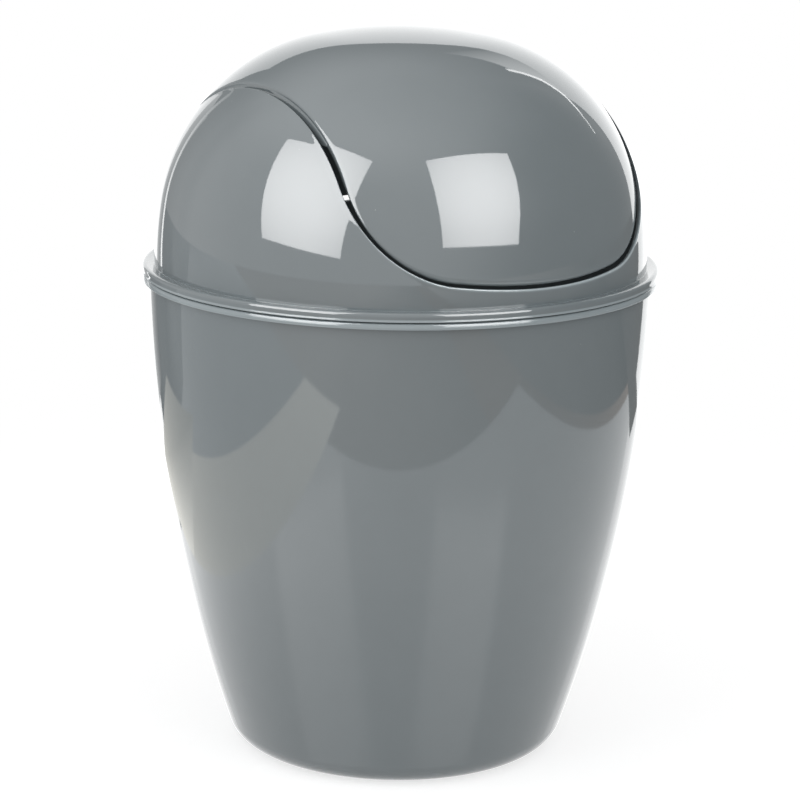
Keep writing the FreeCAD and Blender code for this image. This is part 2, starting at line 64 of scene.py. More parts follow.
WHITE = (1.0, 1.0, 1.0, 1.0)

Array = np.ndarray
Point = tuple[float, float]
Corners = tuple[Point, Point, Point, Point]
log = logging.getLogger("swing_bin")


class Body(str, Enum):
    """Bodies of the frame that pieces ride on."""

    BUCKET = "bucket"
    LID = "lid"
    FLAP = "flap"


class Slot(str, Enum):
    """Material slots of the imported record."""

    BIN = "bin_grey"
    LID = "lid_grey"
    FLAP = "flap_grey"


class Side(Enum):
    """The two sides of the bin that carry a pivot, with the sign of their X."""

    LEFT = -1
    RIGHT = 1


class LampKind(Enum):
    """Kinds of lamp that the studio uses."""

    AREA = "AREA"
    POINT = "POINT"


# Objects and meshes

def stand(name: str, data: bpy.types.ID, pose: Matrix | None = None) -> bpy.types.Object:
    """Put a mesh, a lamp or a camera into the scene.

    Args:
        name: Name of the object.
        data: The mesh, lamp or camera.
        pose: Place and turn of the object, which is else at the origin.

    Returns:
        The new object.
    """
    thing = bpy.data.objects.new(name, data)
    bpy.context.scene.collection.objects.link(thing)
    if pose is not None:
        thing.matrix_world = pose
    return thing


def set_points(mesh: bpy.types.Mesh, attribute: str, values: Array) -> None:
    """Give each point of a mesh its own value, as an attribute that materials read."""
    numbers = np.asarray(values, np.float32)
    mesh.attributes.new(attribute, "FLOAT", "POINT").data.foreach_set("value", numbers)


def flat_mesh(name: str, corners: Corners) -> bpy.types.Mesh:
    """Make a mesh of one face in the XY plane.

    Args:
        name: Name of the mesh.
        corners: Its corners, anticlockwise.

    Returns:
        The new mesh.
    """
    mesh = bpy.data.meshes.new(name)
    places = np.column_stack([corners, np.zeros(len(corners))])
    mesh.from_pydata(places.tolist(), [], [range(len(corners))])
    return mesh


# Outlines in a plane through the axis

def eased(count: int) -> Array:
    """Numbers from 0 to 1 that crowd at both ends: half of one less the cosine of even steps."""
    return 0.5 - 0.5 * np.cos(np.linspace(0.0, HALF_TURN, count))


def line(start: Array, end: Array, count: int) -> Array:
    """A straight run, crowded towards its ends so that corners stay crisp.

    Args:
        start: First point, radius and height.
        end: Last point.
        count: Number of points.

    Returns:
        Points of shape (count, 2): the start plus an eased share of the way to the end.
    """
    share = eased(count)[:, None]
    return np.asarray(start) * (1.0 - share) + np.asarray(end) * share


def line_between(start: Array, end: Array, count: int) -> Array:
    """Even steps from one row of points to another, of shape (count, columns, 2)."""
    share = np.linspace(0.0, 1.0, count)[:, None, None]
    return start * (1.0 - share) + end * share


def arc(center: Array, radius: float, first: float, last: float, count: int) -> Array:
    """Part of a circle: its centre plus the radius along an angle that runs evenly.

    Args:
        center: Centre, radius and height.
        radius: Radius of the circle.
        first: Angle of the first point.
        last: Angle of the last point.
        count: Number of points.

    Returns:
        Points of shape (count, 2).
    """
    turn = np.linspace(first, last, count)
    return np.asarray(center) + radius * np.stack([np.cos(turn), np.sin(turn)], axis=1)


def curve(before: Array, corner: Array, after: Array, count: int) -> Array:
    """A corner rounded by the quadratic curve that its two sides touch.

    Args:
        before: Where the curve leaves the first side, of shape (..., 2).
        corner: The sharp corner.
        after: Where the curve meets the second side.
        count: Number of points.

    Returns:
        Points of shape (count, ..., 2): squares of the two shares weigh the ends, twice their
        product weighs the corner.
    """
    share = np.linspace(0.0, 1.0, count).reshape((count,) + (1,) * np.ndim(before))
    return before * (1.0 - share) ** 2 + corner * 2.0 * share * (1.0 - share) + after * share ** 2


def rounded_run(corners: list[Point], radii: list[float], run: int, bend: int) -> Array:
    """Straight runs through corners, each inner corner rounded by its own radius.

    Args:
        corners: Corner points, radius and height.
        radii: Rounding of each inner corner.
        run: Points on each straight run.
        bend: Points on each rounded corner.

    Returns:
        Points of shape (n, 2), from the first corner to the last.
    """
    points = np.asarray(corners)
    reach = np.asarray(radii)[:, None]
    back = points[:-2] - points[1:-1]
    ahead = points[2:] - points[1:-1]
    leave = points[1:-1] + back / np.linalg.norm(back, axis=1, keepdims=True) * reach
    meet = points[1:-1] + ahead / np.linalg.norm(ahead, axis=1, keepdims=True) * reach
    bends = curve(leave, points[1:-1], meet, bend).swapaxes(0, 1)
    starts = np.vstack([points[:1], meet])
    ends = np.vstack([leave, points[-1:]])
    pieces = [line(starts[0], ends[0], run)]
    for number, rounding in enumerate(bends, start=1):
        pieces += [rounding, line(starts[number], ends[number], run)]
    return join(*pieces)


def join(*runs: Array) -> Array:
    """One run of points from several.

    Args:
        runs: Points of shape (n, 2), each run going on from the one before.

    Returns:
        All points in order, with those that fall together kept once.
    """
    nearest = 1e-7
    points = np.vstack(runs)
    apart = np.linalg.norm(np.diff(points, axis=0), axis=1) > nearest
    return points[np.concatenate([[True], apart])]


# Surfaces

@dataclass(frozen=True)
class Surface:
    """A closed surface on a grid, rows by columns, whose columns run right round.

    A face looks out along the cross product of the column and row directions.

    Attributes:
        points: Places of shape (rows, columns, 3).
        loop: Whether the last row joins the first; if not, both end rows close in a point.
        edge: Strength of the painted highlight along a moulded edge at each point, which also roughens it,
            0 to 1, of shape (rows, columns).
    """

    points: Array
    loop: bool = False
    edge: Array | None = None

    def mirrored(self, side: Side) -> "Surface":
        """The same surface on one side of the bin.

        Args:
            side: The side; the surface itself is on the right.

        Returns:
            The surface with X turned over, and its columns too, so that it still looks out.
        """
        if side is Side.RIGHT:
            return self
        flip = np.array([-1.0, 1.0, 1.0])
        return Surface((self.points * flip)[:, ::-1], self.loop)

    def faces(self) -> tuple[Array, Array]:
        """Corner numbers of the faces.

        Returns:
            Quads of shape (n, 4) and triangles of shape (m, 3); the poles follow the grid's points.
        """
        rows, columns, _ = self.points.shape
        here = np.arange(rows * columns).reshape(rows, columns)
        beside = np.roll(here, -1, axis=1)
        above, above_beside = np.roll(here, -1, axis=0), np.roll(beside, -1, axis=0)
        last = rows if self.loop else rows - 1
        quads = np.stack([here, beside, above_beside, above], axis=-1)[:last].reshape(-1, 4)
        if self.loop:
            return quads, np.empty((0, 3), int)
        first_pole = np.full(columns, rows * columns)
        first = np.stack([first_pole, beside[0], here[0]], axis=-1)
        final = np.stack([here[-1], beside[-1], first_pole + 1], axis=-1)
        return quads, np.vstack([first, final])

    def build(self, name: str) -> bpy.types.Object:
        """Put the surface into a mesh object at the origin.

        Args:
            name: Name of the piece.

        Returns:
            The new object, smooth shaded, with the edge values as a point attribute.
        """
        quads, triangles = self.faces()
        places = self.points.reshape(-1, 3)
        near = np.zeros(len(places)) if self.edge is None else self.edge.ravel()
        if not self.loop:
            poles = self.points[[0, -1]].mean(axis=1)
            places = np.vstack([places, poles])
            near = np.concatenate([near, np.zeros(len(poles))])
        corners = np.concatenate([quads.ravel(), triangles.ravel()])
        quad_starts = np.arange(len(quads)) * 4
        starts = np.concatenate([quad_starts, len(quads) * 4 + np.arange(len(triangles)) * 3])
        mesh = bpy.data.meshes.new(name)
        mesh.vertices.add(len(places))
        mesh.vertices.foreach_set("co", places.astype(np.float32).ravel())
        mesh.loops.add(len(corners))
        mesh.loops.foreach_set("vertex_index", corners.astype(np.int32))
        mesh.polygons.add(len(starts))
        mesh.polygons.foreach_set("loop_start", starts.astype(np.int32))
        mesh.update(calc_edges=True)
        mesh.validate()
        mesh.shade_smooth()
        set_points(mesh, EDGE_HIGHLIGHT_ATTRIBUTE, near)
        return stand(name, mesh)


def turned(profile: Array, turns: Array) -> Array:
    """Carry an outline round the Z axis.

    Args:
        profile: Radius and height, of shape (rows, 2) or, where it changes on the way round,
            (rows, columns, 2).
        turns: Angle of each column from +X.

    Returns:
        Points of shape (rows, columns, 3): radius times cosine, radius times sine, height.
    """
    section = profile[:, None, :] if profile.ndim == 2 else profile
    radius = np.broadcast_to(section[..., 0], (len(profile), len(turns)))
    height = np.broadcast_to(section[..., 1], radius.shape)
    return np.stack([radius * np.cos(turns), radius * np.sin(turns), height], axis=-1)


def about_pivot(profile: Array, turns: Array, pivot_z: float) -> Array:
    """Carry an outline round the pivot line, as round the Z axis but with the axis laid along X.

    Args:
        profile: Distance from the pivot and place along X, of shape (rows, 2) or (rows, columns, 2).
        turns: Angle of each column about the pivot.
        pivot_z: Height of the pivot.

    Returns:
        Points of shape (rows, columns, 3): along, radius times cosine, pivot plus radius times sine.
    """
    along_x = [2, 0, 1]
    return turned(profile, turns)[..., along_x] + np.array([0.0, 0.0, pivot_z])


def even_turns(count: int) -> Array:
    """Angles evenly round a full turn."""
    return np.linspace(0.0, FULL_TURN, count, endpoint=False)


@dataclass(frozen=True)
class Dome:
    """Outline of a dome: side, shoulder and crown arcs that run into each other.

    Each arc is walked by the angle of its outward normal, from level at the foot to upright at the
    crown, so a wall's inside is the same arcs with smaller radii.

    Attributes:
        foot_radius: Radius at the foot, where the side stands upright.
        foot_z: Height of the foot.
        top_z: Height of the crown.
        side_radius: Radius of the side arc.
        side_height: Height at which the side turns into the shoulder.
        crown_angle: Angle from the axis to where the shoulder turns into the crown.
    """

    foot_radius: float
    foot_z: float
    top_z: float
    side_radius: float
    side_height: float
    crown_angle: float

    def arcs(self) -> tuple[Array, Array, Array]:
        """Radii and centres of the three arcs and the normal angles at their ends.

        Returns:
            Radii of shape (3,), centres of shape (3, 2) and angles of shape (4,).
        """
        lean = math.asin(self.side_height / self.side_radius)
        toward = np.array([math.cos(lean), math.sin(lean)])
        side_center = np.array([self.foot_radius - self.side_radius, self.foot_z])
        side_top = side_center + self.side_radius * toward
        slope = math.tan(self.crown_angle / 2.0)
        rise = self.top_z - side_top[1] - side_top[0] * slope
        shoulder = rise / (1.0 - toward[1] - toward[0] * slope)
        shoulder_center = side_top - shoulder * toward
        crown = shoulder + shoulder_center[0] / math.sin(self.crown_angle)
        centers = np.array([side_center, shoulder_center, [0.0, self.top_z - crown]])
        radii = np.array([self.side_radius, shoulder, crown])
        angles = np.array([0.0, lean, QUARTER_TURN - self.crown_angle, QUARTER_TURN])
        return radii, centers, angles

    def lengths(self) -> Array:
        """Distance along the outline from the foot to each end of an arc."""
        radii, _, angles = self.arcs()
        return np.concatenate([[0.0], np.cumsum(radii * np.diff(angles))])

    def at(self, length: Array, inset: Array | float = 0.0) -> Array:
        """Points of the outline.

        Args:
            length: Distance along the outside from the foot.
            inset: How far inside the outline the points lie.

        Returns:
            Radius and height on a last axis of 2: the arc's centre plus its radius, less the inset,
            along the normal.
        """
        radii, centers, angles = self.arcs()
        normal = np.interp(length, self.lengths(), angles)
        which = np.searchsorted(angles[1:-1], normal, side="right")
        reach = radii[which] - inset
        direction = np.stack([np.cos(normal), np.sin(normal)], axis=-1)
        return centers[which] + reach[..., None] * direction

    def walk(self, inset: float) -> Array:
        """Fine even steps along the whole outline, from the foot to the crown."""
        samples = 4000
        return self.at(np.linspace(0.0, self.lengths()[-1], samples), inset)

    def height_over(self, radius: Array, inset: float) -> Array:
        """Height of the dome over a given radius, read from its outline by interpolation."""
        radii, heights = self.walk(inset)[::-1].T
        return np.interp(radius, radii, heights)

    def radius_over(self, height: Array, inset: float) -> Array:
        """Radius of the dome at a given height, read from its outline by interpolation."""
        radii, heights = self.walk(inset).T
        return np.interp(height, heights, radii)


@dataclass(frozen=True)
class SeamOutline:
    """The seam seen from the front: a shallow bottom arc, two corner arcs and upright sides.

    Attributes:
        half_width: Distance of the upright sides from the middle.
        bottom_z: Lowest point.
        bottom_radius: Radius of the bottom arc.
        corner_radius: Radius of the corners.
        lean: How much the outline rises for each metre towards the back.
    """

    half_width: float
    bottom_z: float
    bottom_radius: float
    corner_radius: float
    lean: float = 0.0

    def floor(self, across: Array) -> Array:
        """Height of the outline's lower side.

        Args:
            across: Distance from the middle.

        Returns:
            Heights on the bottom arc, on a corner arc, or far above past the upright sides.
        """
        high = 1.0
        bottom_center = self.bottom_z + self.bottom_radius
        corner_x = self.half_width - self.corner_radius
        spread = self.bottom_radius - self.corner_radius
        corner_z = bottom_center - math.sqrt(spread ** 2 - corner_x ** 2)
        meeting = corner_x * self.bottom_radius / spread
        bottom = bottom_center - np.sqrt(np.maximum(self.bottom_radius ** 2 - across ** 2, 0.0))
        corner = corner_z - np.sqrt(np.maximum(self.corner_radius ** 2 - (across - corner_x) ** 2, 0.0))
        inner = np.where(across < meeting, bottom, corner)
        return np.where(across < self.half_width, inner, high)

    def meet(self, dome: Dome, turns: Array, inset: float = 0.0) -> Array:
        """Where a dome's upright lines cross the outline, by halving the stretch that holds it.

        Args:
            dome: The dome.
            turns: Angles of the upright lines from +X.
            inset: How far inside the dome to look.

        Returns:
            Distance from the foot along the dome for each line.
        """
        halvings = 48
        low = np.zeros_like(turns)
        high = np.full_like(turns, dome.lengths()[-1])
        for _ in range(halvings):
            middle = (low + high) / 2.0
            points = dome.at(middle, inset)
            edge = self.floor(np.abs(points[:, 0] * np.cos(turns)))
            inside = points[:, 1] > edge + self.lean * points[:, 0] * np.sin(turns)
            low = np.where(inside, low, middle)
            high = np.where(inside, middle, high)
        return low

    def columns(self, dome: Dome, count: int) -> Array:
        """Angles round the dome that divide the seam into even steps.

        Args:
            dome: The dome that the seam is drawn on.
            count: Number of columns.

        Returns:
            Angles of shape (count,), from the seam's length interpolated at even steps.
        """
        dense = 8192
        fine = np.linspace(0.0, FULL_TURN, dense + 1)
        section = dome.at(self.meet(dome, fine))
        places = turned(section[None, :, :], fine)[0]
        steps = np.linalg.norm(np.diff(places, axis=0), axis=1)
        run = np.concatenate([[0.0], np.cumsum(steps)])
        return np.interp(np.linspace(0.0, run[-1], count, endpoint=False), run, fine)

    def nearness(self, height: Array) -> Array:
        """Nearness of the seam's foot: 1 at the bottom, falling by a square to 0 past the corners."""
        return np.clip(1.0 - (height - self.bottom_z) / self.corner_radius, 0.0, 1.0) ** 2

    def stretch(self, dome: Dome, turns: Array) -> Array:
        """How much longer a step up the dome is than the same step square to the seam.

        Args:
            dome: The dome that the seam is drawn on.
            turns: Angles of the upright lines.

        Returns:
            The slope of the seam against a level ring, as the length of its unit step.
        """
        nudge = 1e-4
        slope = (self.meet(dome, turns + nudge) - self.meet(dome, turns - nudge)) / (2.0 * nudge)
        radius = dome.at(self.meet(dome, turns))[:, 0]
        return np.sqrt(1.0 + (slope / radius) ** 2)


# Shader node groups and finishes

class NodeKit:
    """Adds nodes to a tree and links them, so that a material reads from left to right."""

    def __init__(self, tree: bpy.types.NodeTree) -> None:
        """Keep the tree."""
        self.tree = tree

    def add(self, kind: str, inputs: dict | None = None, **settings: object) -> bpy.types.Node:
        """Add a node.

        Args:
            kind: Node type without its ShaderNode prefix.
            inputs: Socket name or number to a value, or to an output socket to link.
            settings: Properties of the node.

        Returns:
            The new node.
        """
        node = self.tree.nodes.new("ShaderNode" + kind)
        for name, value in settings.items():
            setattr(node, name, value)
        for name, value in (inputs or {}).items():
            if isinstance(value, bpy.types.NodeSocket):
                self.tree.links.new(value, node.inputs[name])
            else:
                node.inputs[name].default_value = value
        return node

    def math(self, operation: str, *values: object, clamp: bool = False) -> bpy.types.NodeSocket:
        """One Math node on numbers or sockets; returns its output."""
        inputs = dict(enumerate(values))
        return self.add("Math", inputs, operation=operation, use_clamp=clamp).outputs[0]

    def noise(self, place: bpy.types.NodeSocket, scale: object, detail: float) -> bpy.types.NodeSocket:
        """Value of a noise texture at a place; returns its output."""
        return self.add("TexNoise", {"Vector": place, "Scale": scale, "Detail": detail}).outputs[0]


def bare_tree(owner: bpy.types.Material | bpy.types.World) -> NodeKit:
    """Clear the nodes of a material or a world.

    Args:
        owner: The material or world.

    Returns:
        A kit for its empty tree.
    """
    owner.use_nodes = True
    owner.node_tree.nodes.clear()
    return NodeKit(owner.node_tree)


class EffectGroup:
    """A shader node group with named sockets, built once and shared by materials."""

    def __init__(self, name: str, inputs: dict[str, str], outputs: dict[str, str]) -> None:
        """Make the group and its sockets.

        Args:
            name: Name of the group.
            inputs: Socket name to socket type.
            outputs: Socket name to socket type.
        """
        self.tree = bpy.data.node_groups.new(name, "ShaderNodeTree")
        for label, kind in inputs.items():
            self.tree.interface.new_socket(label, in_out="INPUT", socket_type="NodeSocket" + kind)
        for label, kind in outputs.items():
            self.tree.interface.new_socket(label, in_out="OUTPUT", socket_type="NodeSocket" + kind)
        self.kit = NodeKit(self.tree)
        self.given = self.tree.nodes.new("NodeGroupInput").outputs
        self.result = self.tree.nodes.new("NodeGroupOutput").inputs

    def give(self, label: str, socket: bpy.types.NodeSocket) -> None:
        """Lead a socket to one of the group's outputs."""
        self.tree.links.new(socket, self.result[label])


def moulded_tone() -> bpy.types.NodeTree:
    """Group for the faint clouding of moulded plastic.

    Returns:
        A group that shifts a colour's lightness by two sizes of noise.
    """
    cloud_scale, cloud_detail = 14.0, 2.0
    streak_scale, streak_detail = 90.0, 3.0
    middle = 0.5
    group = EffectGroup("moulded_tone", {"Place": "Vector", "Colour": "Color", "Mottle": "Float"},
                        {"Colour": "Color"})
    kit, given = group.kit, group.given
    clouds = kit.noise(given["Place"], cloud_scale, cloud_detail)
    streaks = kit.noise(given["Place"], streak_scale, streak_detail)
    both = kit.math("ADD", kit.math("SUBTRACT", clouds, middle), kit.math("SUBTRACT", streaks, middle))
    shift = kit.math("MULTIPLY_ADD", both, given["Mottle"], 1.0)
    tone = kit.add("HueSaturation", {"Value": shift, "Color": given["Colour"]})
    group.give("Colour", tone.outputs[0])
    return group.tree


def handling_marks() -> bpy.types.NodeTree:
    """Group for what handling leaves on gloss: dust specks and fine scuffs.

    Returns:
        A group whose outputs are masks: specks are the middles of scattered cells, scuffs are
        narrow bands of stretched noise.
    """
    speck_scale, speck_rarity, speck_spread, speck_least = 220.0, 0.955, 0.035, 0.015
    scuff_scale, scuff_detail, scuff_low, scuff_high = 60.0, 4.0, 0.66, 0.78
    scuff_turn, scuff_stretch = (0.4, 0.9, 0.2), (1.0, 14.0, 1.0)
    group = EffectGroup("handling_marks", {"Place": "Vector", "Dust": "Float", "Scuff": "Float"},
                        {"Specks": "Float", "Scuffs": "Float"})
    kit, given = group.kit, group.given
    cells = kit.add("TexVoronoi", {"Vector": given["Place"], "Scale": speck_scale, "Randomness": 1.0})
    draw = kit.add("SeparateColor", {"Color": cells.outputs["Color"]}).outputs
    chosen = kit.math("GREATER_THAN", draw[0], speck_rarity)
    size = kit.math("MULTIPLY_ADD", draw[1], speck_spread, speck_least)
    middle = kit.math("LESS_THAN", cells.outputs["Distance"], size)
    specks = kit.math("MULTIPLY", kit.math("MULTIPLY", chosen, middle), given["Dust"])
    bent = kit.add("Mapping", {"Vector": given["Place"], "Rotation": scuff_turn, "Scale": scuff_stretch})
    lines = kit.noise(bent.outputs[0], scuff_scale, scuff_detail)
    narrow = kit.add("MapRange", {"Value": lines, "From Min": scuff_low, "From Max": scuff_high})
    group.give("Specks", specks)
    group.give("Scuffs", kit.math("MULTIPLY", narrow.outputs[0], given["Scuff"]))
    return group.tree


def moulded_skin() -> bpy.types.NodeTree:
    """Group for the relief of a moulded skin.

    Returns:
        A group whose height, in metres, is a slow ripple plus a fine grain.
    """
    ripple_scale, ripple_detail = 26.0, 1.0
    grain_scale, grain_detail = 900.0, 2.0
    group = EffectGroup("moulded_skin", {"Place": "Vector", "Ripple": "Float", "Grain": "Float"},
                        {"Height": "Float"})
    kit, given = group.kit, group.given
    ripple = kit.math("MULTIPLY", kit.noise(given["Place"], ripple_scale, ripple_detail), given["Ripple"])
    grain = kit.noise(given["Place"], grain_scale, grain_detail)
    group.give("Height", kit.math("MULTIPLY_ADD", grain, given["Grain"], ripple))
    return group.tree


@dataclass(frozen=True)
class Effects:
    """The shared node groups."""

    tone: bpy.types.NodeTree
    marks: bpy.types.NodeTree
    skin: bpy.types.NodeTree


@dataclass(frozen=True)
class MouldedPlastic:
    """Moulded plastic: clouded colour, dust and scuffs, a rippled skin, and edges painted lighter as a
    highlight and rougher as wear.

    Attributes:
        name: Name of the material.
        colour: Base colour, linear.
        roughness: Roughness of the clean skin.
        mottle: Strength of the clouding.
        dust: Strength of the dust specks.
        scuff: How much scuffs roughen the skin.
        ripple: Height of the slow ripple.
        grain: Height of the fine grain.
        painted_highlight: How much lighter an edge is painted, as a highlight.
        wear: How much rougher an edge with the painted highlight is, as wear.
    """

    name: str
    colour: tuple[float, float, float]
    roughness: float
    mottle: float = 0.05
    dust: float = 0.35
    scuff: float = 0.05
    ripple: float = 0.012 * MM
    grain: float = 0.0002 * MM
    painted_highlight: float = 1.2
    wear: float = 0.15

    def build(self, effects: Effects) -> bpy.types.Material:
        """Make the material.

        Args:
            effects: The shared node groups.

        Returns:
            A material with one Principled shader, whose colour, roughness and normal vary.
        """
        dust_colour, dust_roughness = (0.62, 0.62, 0.60, 1.0), 0.5
        # The Mix node's sockets for colours share their names with others, so they go by number.
        under, over, mixed = 6, 7, 2
        material = bpy.data.materials.new(self.name)
        material.use_nodes = True
        tree = material.node_tree
        kit = NodeKit(tree)
        shader = tree.nodes["Principled BSDF"]
        place = kit.add("TexCoord").outputs["Object"]
        tone = kit.add("Group", {"Place": place, "Colour": (*self.colour, 1.0), "Mottle": self.mottle},
                       node_tree=effects.tone)
        marks = kit.add("Group", {"Place": place, "Dust": self.dust, "Scuff": self.scuff},
                        node_tree=effects.marks)
        skin = kit.add("Group", {"Place": place, "Ripple": self.ripple, "Grain": self.grain},
                       node_tree=effects.skin)
        # The edge attribute paints a highlight: it lightens the colour along moulded edges, and it also
        # roughens them as wear.
        near = kit.add("Attribute", attribute_name=EDGE_HIGHLIGHT_ATTRIBUTE).outputs["Fac"]
        lift = kit.math("MULTIPLY_ADD", near, self.painted_highlight, 1.0)
        highlighted = kit.add("HueSaturation", {"Value": lift, "Color": tone.outputs["Colour"]})
        layers = {"Factor": marks.outputs["Specks"], under: highlighted.outputs[0], over: dust_colour}
        dusty = kit.add("Mix", layers, data_type="RGBA")
        tree.links.new(dusty.outputs[mixed], shader.inputs["Base Color"])
        worn = kit.math("MULTIPLY_ADD", near, self.wear, self.roughness)
        scuffed = kit.math("ADD", marks.outputs["Scuffs"], worn)
        dulled = kit.math("MULTIPLY", marks.outputs["Specks"], dust_roughness)
        rough = kit.math("ADD", scuffed, dulled, clamp=True)
        tree.links.new(rough, shader.inputs["Roughness"])
        bump = kit.add("Bump", {"Height": skin.outputs["Height"], "Distance": 1.0, "Strength": 1.0})
        tree.links.new(bump.outputs[0], shader.inputs["Normal"])
        return material


# Sub-assemblies

def dress(piece: bpy.types.Object, material: bpy.types.Material, body: Body) -> None:
    """Give a new piece its finish, its body and its slot, and report it.

    Args:
        piece: The piece.
        material: Its finish.
        body: The body that it rides on.
    """
    piece.data.materials.append(material)
    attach(piece, body.value)
    log.info("%s: %d points, rides on %s", piece.name, len(piece.data.vertices), body.value)


@dataclass
class Bucket:
    """The round bucket: a bulging wall on a recessed base, with a bead round the mouth.

    Attributes:
        height: Floor to the top of the rim.
        bead_radius: Outside of the bead.
        bead_reach: How far the bead stands out from the wall.
        bead_lean: How far its upper part leans in.
        bead_upright: Height of its upright lower part.
        bead_highlight: How much of the full painted highlight its outside shows.
        foot_radius: Radius of the side's arc at the floor.
        foot_ring_reach: From there to the inner edge of the foot ring.
    """

    height: float
    bead_radius: float
    bead_reach: float = 2.0 * MM
    bead_height: float = 2.4 * MM
    bead_rounding: float = 0.9 * MM
    bead_lean: float = 0.28 * MM
    bead_upright: float = 0.9 * MM
    bead_highlight: float = 0.5
    foot_radius: float = 63.9 * MM
    side_radius: float = 600.0 * MM
    wall: float = 2.0 * MM
    base_rounding: float = 13.0 * MM
    base_thickness: float = 2.2 * MM
    foot_ring_reach: float = 19.0 * MM
    recess_depth: float = 1.8 * MM
    fine_rounding: float = 0.3 * MM
    columns: int = 384

    @classmethod
    def from_frame(cls) -> "Bucket":
        """Read the overall sizes from the frame."""
        _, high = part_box("bin_body")
        return cls(height=high.z, bead_radius=high.x)

    def side_center(self) -> Array:
        """Centre of the side's arc.

        Returns:
            The middle of the chord from foot to mouth, plus the offset square to it that the
            side's radius leaves.
        """
        foot = np.array([self.foot_radius, 0.0])
        mouth = np.array([self.bead_radius - self.bead_reach, self.height])
        chord = mouth - foot
        length = np.linalg.norm(chord)
        offset = math.sqrt(self.side_radius ** 2 - (length / 2.0) ** 2)
        return (foot + mouth) / 2.0 + offset * np.array([-chord[1], chord[0]]) / length

    def side(self, inset: float, low: float, high: float, count: int) -> Array:
        """Part of the side's arc or, inset, of its inside.

        Args:
            inset: How far inside the outside of the wall the points lie.
            low: Height of the first point.
            high: Height of the last point.
            count: Number of points.

        Returns:
            Points of shape (count, 2): the centre plus the radius along angles that crowd at the ends.
        """
        center = self.side_center()
        radius = self.side_radius - inset
        first = math.asin((low - center[1]) / radius)
        last = math.asin((high - center[1]) / radius)
        turn = first + (last - first) * eased(count)
        return center + radius * np.stack([np.cos(turn), np.sin(turn)], axis=1)

    def rounding(self, inset: float, radius: float, level: float, count: int) -> Array:
        """Round the corner between a level face and the side.

        Args:
            inset: How far inside the outside of the wall the side lies.
            radius: Radius of the rounding.
            level: Height of the level face.
            count: Number of points.

        Returns:
            Points from the level face to the side, on the arc that touches both.
        """
        center = self.side_center()
        reach = self.side_radius - inset - radius
        middle_z = level + radius
        middle = np.array([center[0] + math.sqrt(reach ** 2 - (middle_z - center[1]) ** 2), middle_z])
        last = math.atan2(middle[1] - center[1], middle[0] - center[0])
        return arc(middle, radius, -QUARTER_TURN, last, count)

    def profile(self) -> Array:
        """Outline from the middle of the base, up the outside and down the inside to the floor.

        Returns:
            Radius and height of shape (rows, 2).
        """
        side_rows, inner_rows, run, bend = 72, 40, 6, 7
        base_rows, inner_base_rows = 20, 14
        near_axis, margin = 1.0 * MM, 2.0 * MM
        bead_bottom = self.height - self.bead_height
        floor_top = self.recess_depth + self.base_thickness
        recess_radius = self.foot_radius - self.foot_ring_reach
        base_bend = self.rounding(0.0, self.base_rounding, 0.0, base_rows)
        inner_bend = self.rounding(self.wall, self.base_rounding - self.wall, floor_top, inner_base_rows)
        outside = self.side(0.0, base_bend[-1, 1], bead_bottom - margin, side_rows)
        under_bead = self.side(0.0, bead_bottom, bead_bottom, 2)[0]
        inside = self.side(self.wall, inner_bend[-1, 1], self.height - margin, inner_rows)[::-1]
        mouth = self.side(self.wall, self.height, self.height, 2)[0]
        fine = self.fine_rounding
        base = rounded_run([(near_axis, self.recess_depth), (recess_radius, self.recess_depth),
                            (recess_radius, 0.0), tuple(base_bend[0])], [fine, fine], run, bend)
        rim = rounded_run([tuple(outside[-1]), tuple(under_bead), (self.bead_radius, bead_bottom),
                           (self.bead_radius, bead_bottom + self.bead_upright),
                           (self.bead_radius - self.bead_lean, self.height), tuple(mouth),
                           tuple(inside[0])],
                          [fine, fine, fine, self.bead_rounding, 2.0 * fine], run, bend)
        floor = line(inner_bend[0], np.array([near_axis, floor_top]), 2 * run)
        return join(base, base_bend, outside, rim, inside, inner_bend[::-1], floor)

    def highlighted(self, profile: Array) -> Array:
        """Painted highlight of the outline's points, which shows on the outside of the bead."""
        outside = profile[:, 0] > self.bead_radius - self.bead_reach / 2.0
        return np.where(outside & (profile[:, 1] > self.height - self.bead_height), self.bead_highlight, 0.0)

    def build(self, material: bpy.types.Material) -> None:
        """Make and dress the bucket.

        Args:
            material: Its finish.
        """
        profile = self.profile()
        # The bead's outside is painted lighter, as a highlight.
        edge = np.repeat(self.highlighted(profile)[:, None], self.columns, axis=1)
        piece = Surface(turned(profile, even_turns(self.columns)), edge=edge).build("bucket_moulding")
        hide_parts("bin_body")
        dress(piece, material, Body.BUCKET)


@dataclass(frozen=True)
class SeamEdge:
    """How a wall ends at the seam.

    Attributes:
        foot_rounding: Rounding of the outer corner where the seam runs level.
        side_rounding: Rounding of the outer corner where the seam runs up.
        inner_share: Share of the wall that the easing of the inner corner takes.
        painted_highlight: How much painted highlight, with its wear roughness, the edge gets at the foot.
        roll_depth: How far the outside rolls in at the edge, or out if negative.
        roll_width: Distance from the edge over which it rolls.
        undercut: How far the inner corner lies behind the outer one where the seam runs up.
        slide: How much further the foot's rounding runs along the outside than across the edge.
    """

    foot_rounding: float
    side_rounding: float
    inner_share: float
    painted_highlight: float
    roll_depth: float
    roll_width: float
    undercut: float = 0.0
    slide: float = 0.0

    def rounding(self, foot: Array) -> Array:
        """Rounding along the seam, from the sides' to the foot's by the nearness of the foot."""
        return self.side_rounding + (self.foot_rounding - self.side_rounding) * foot


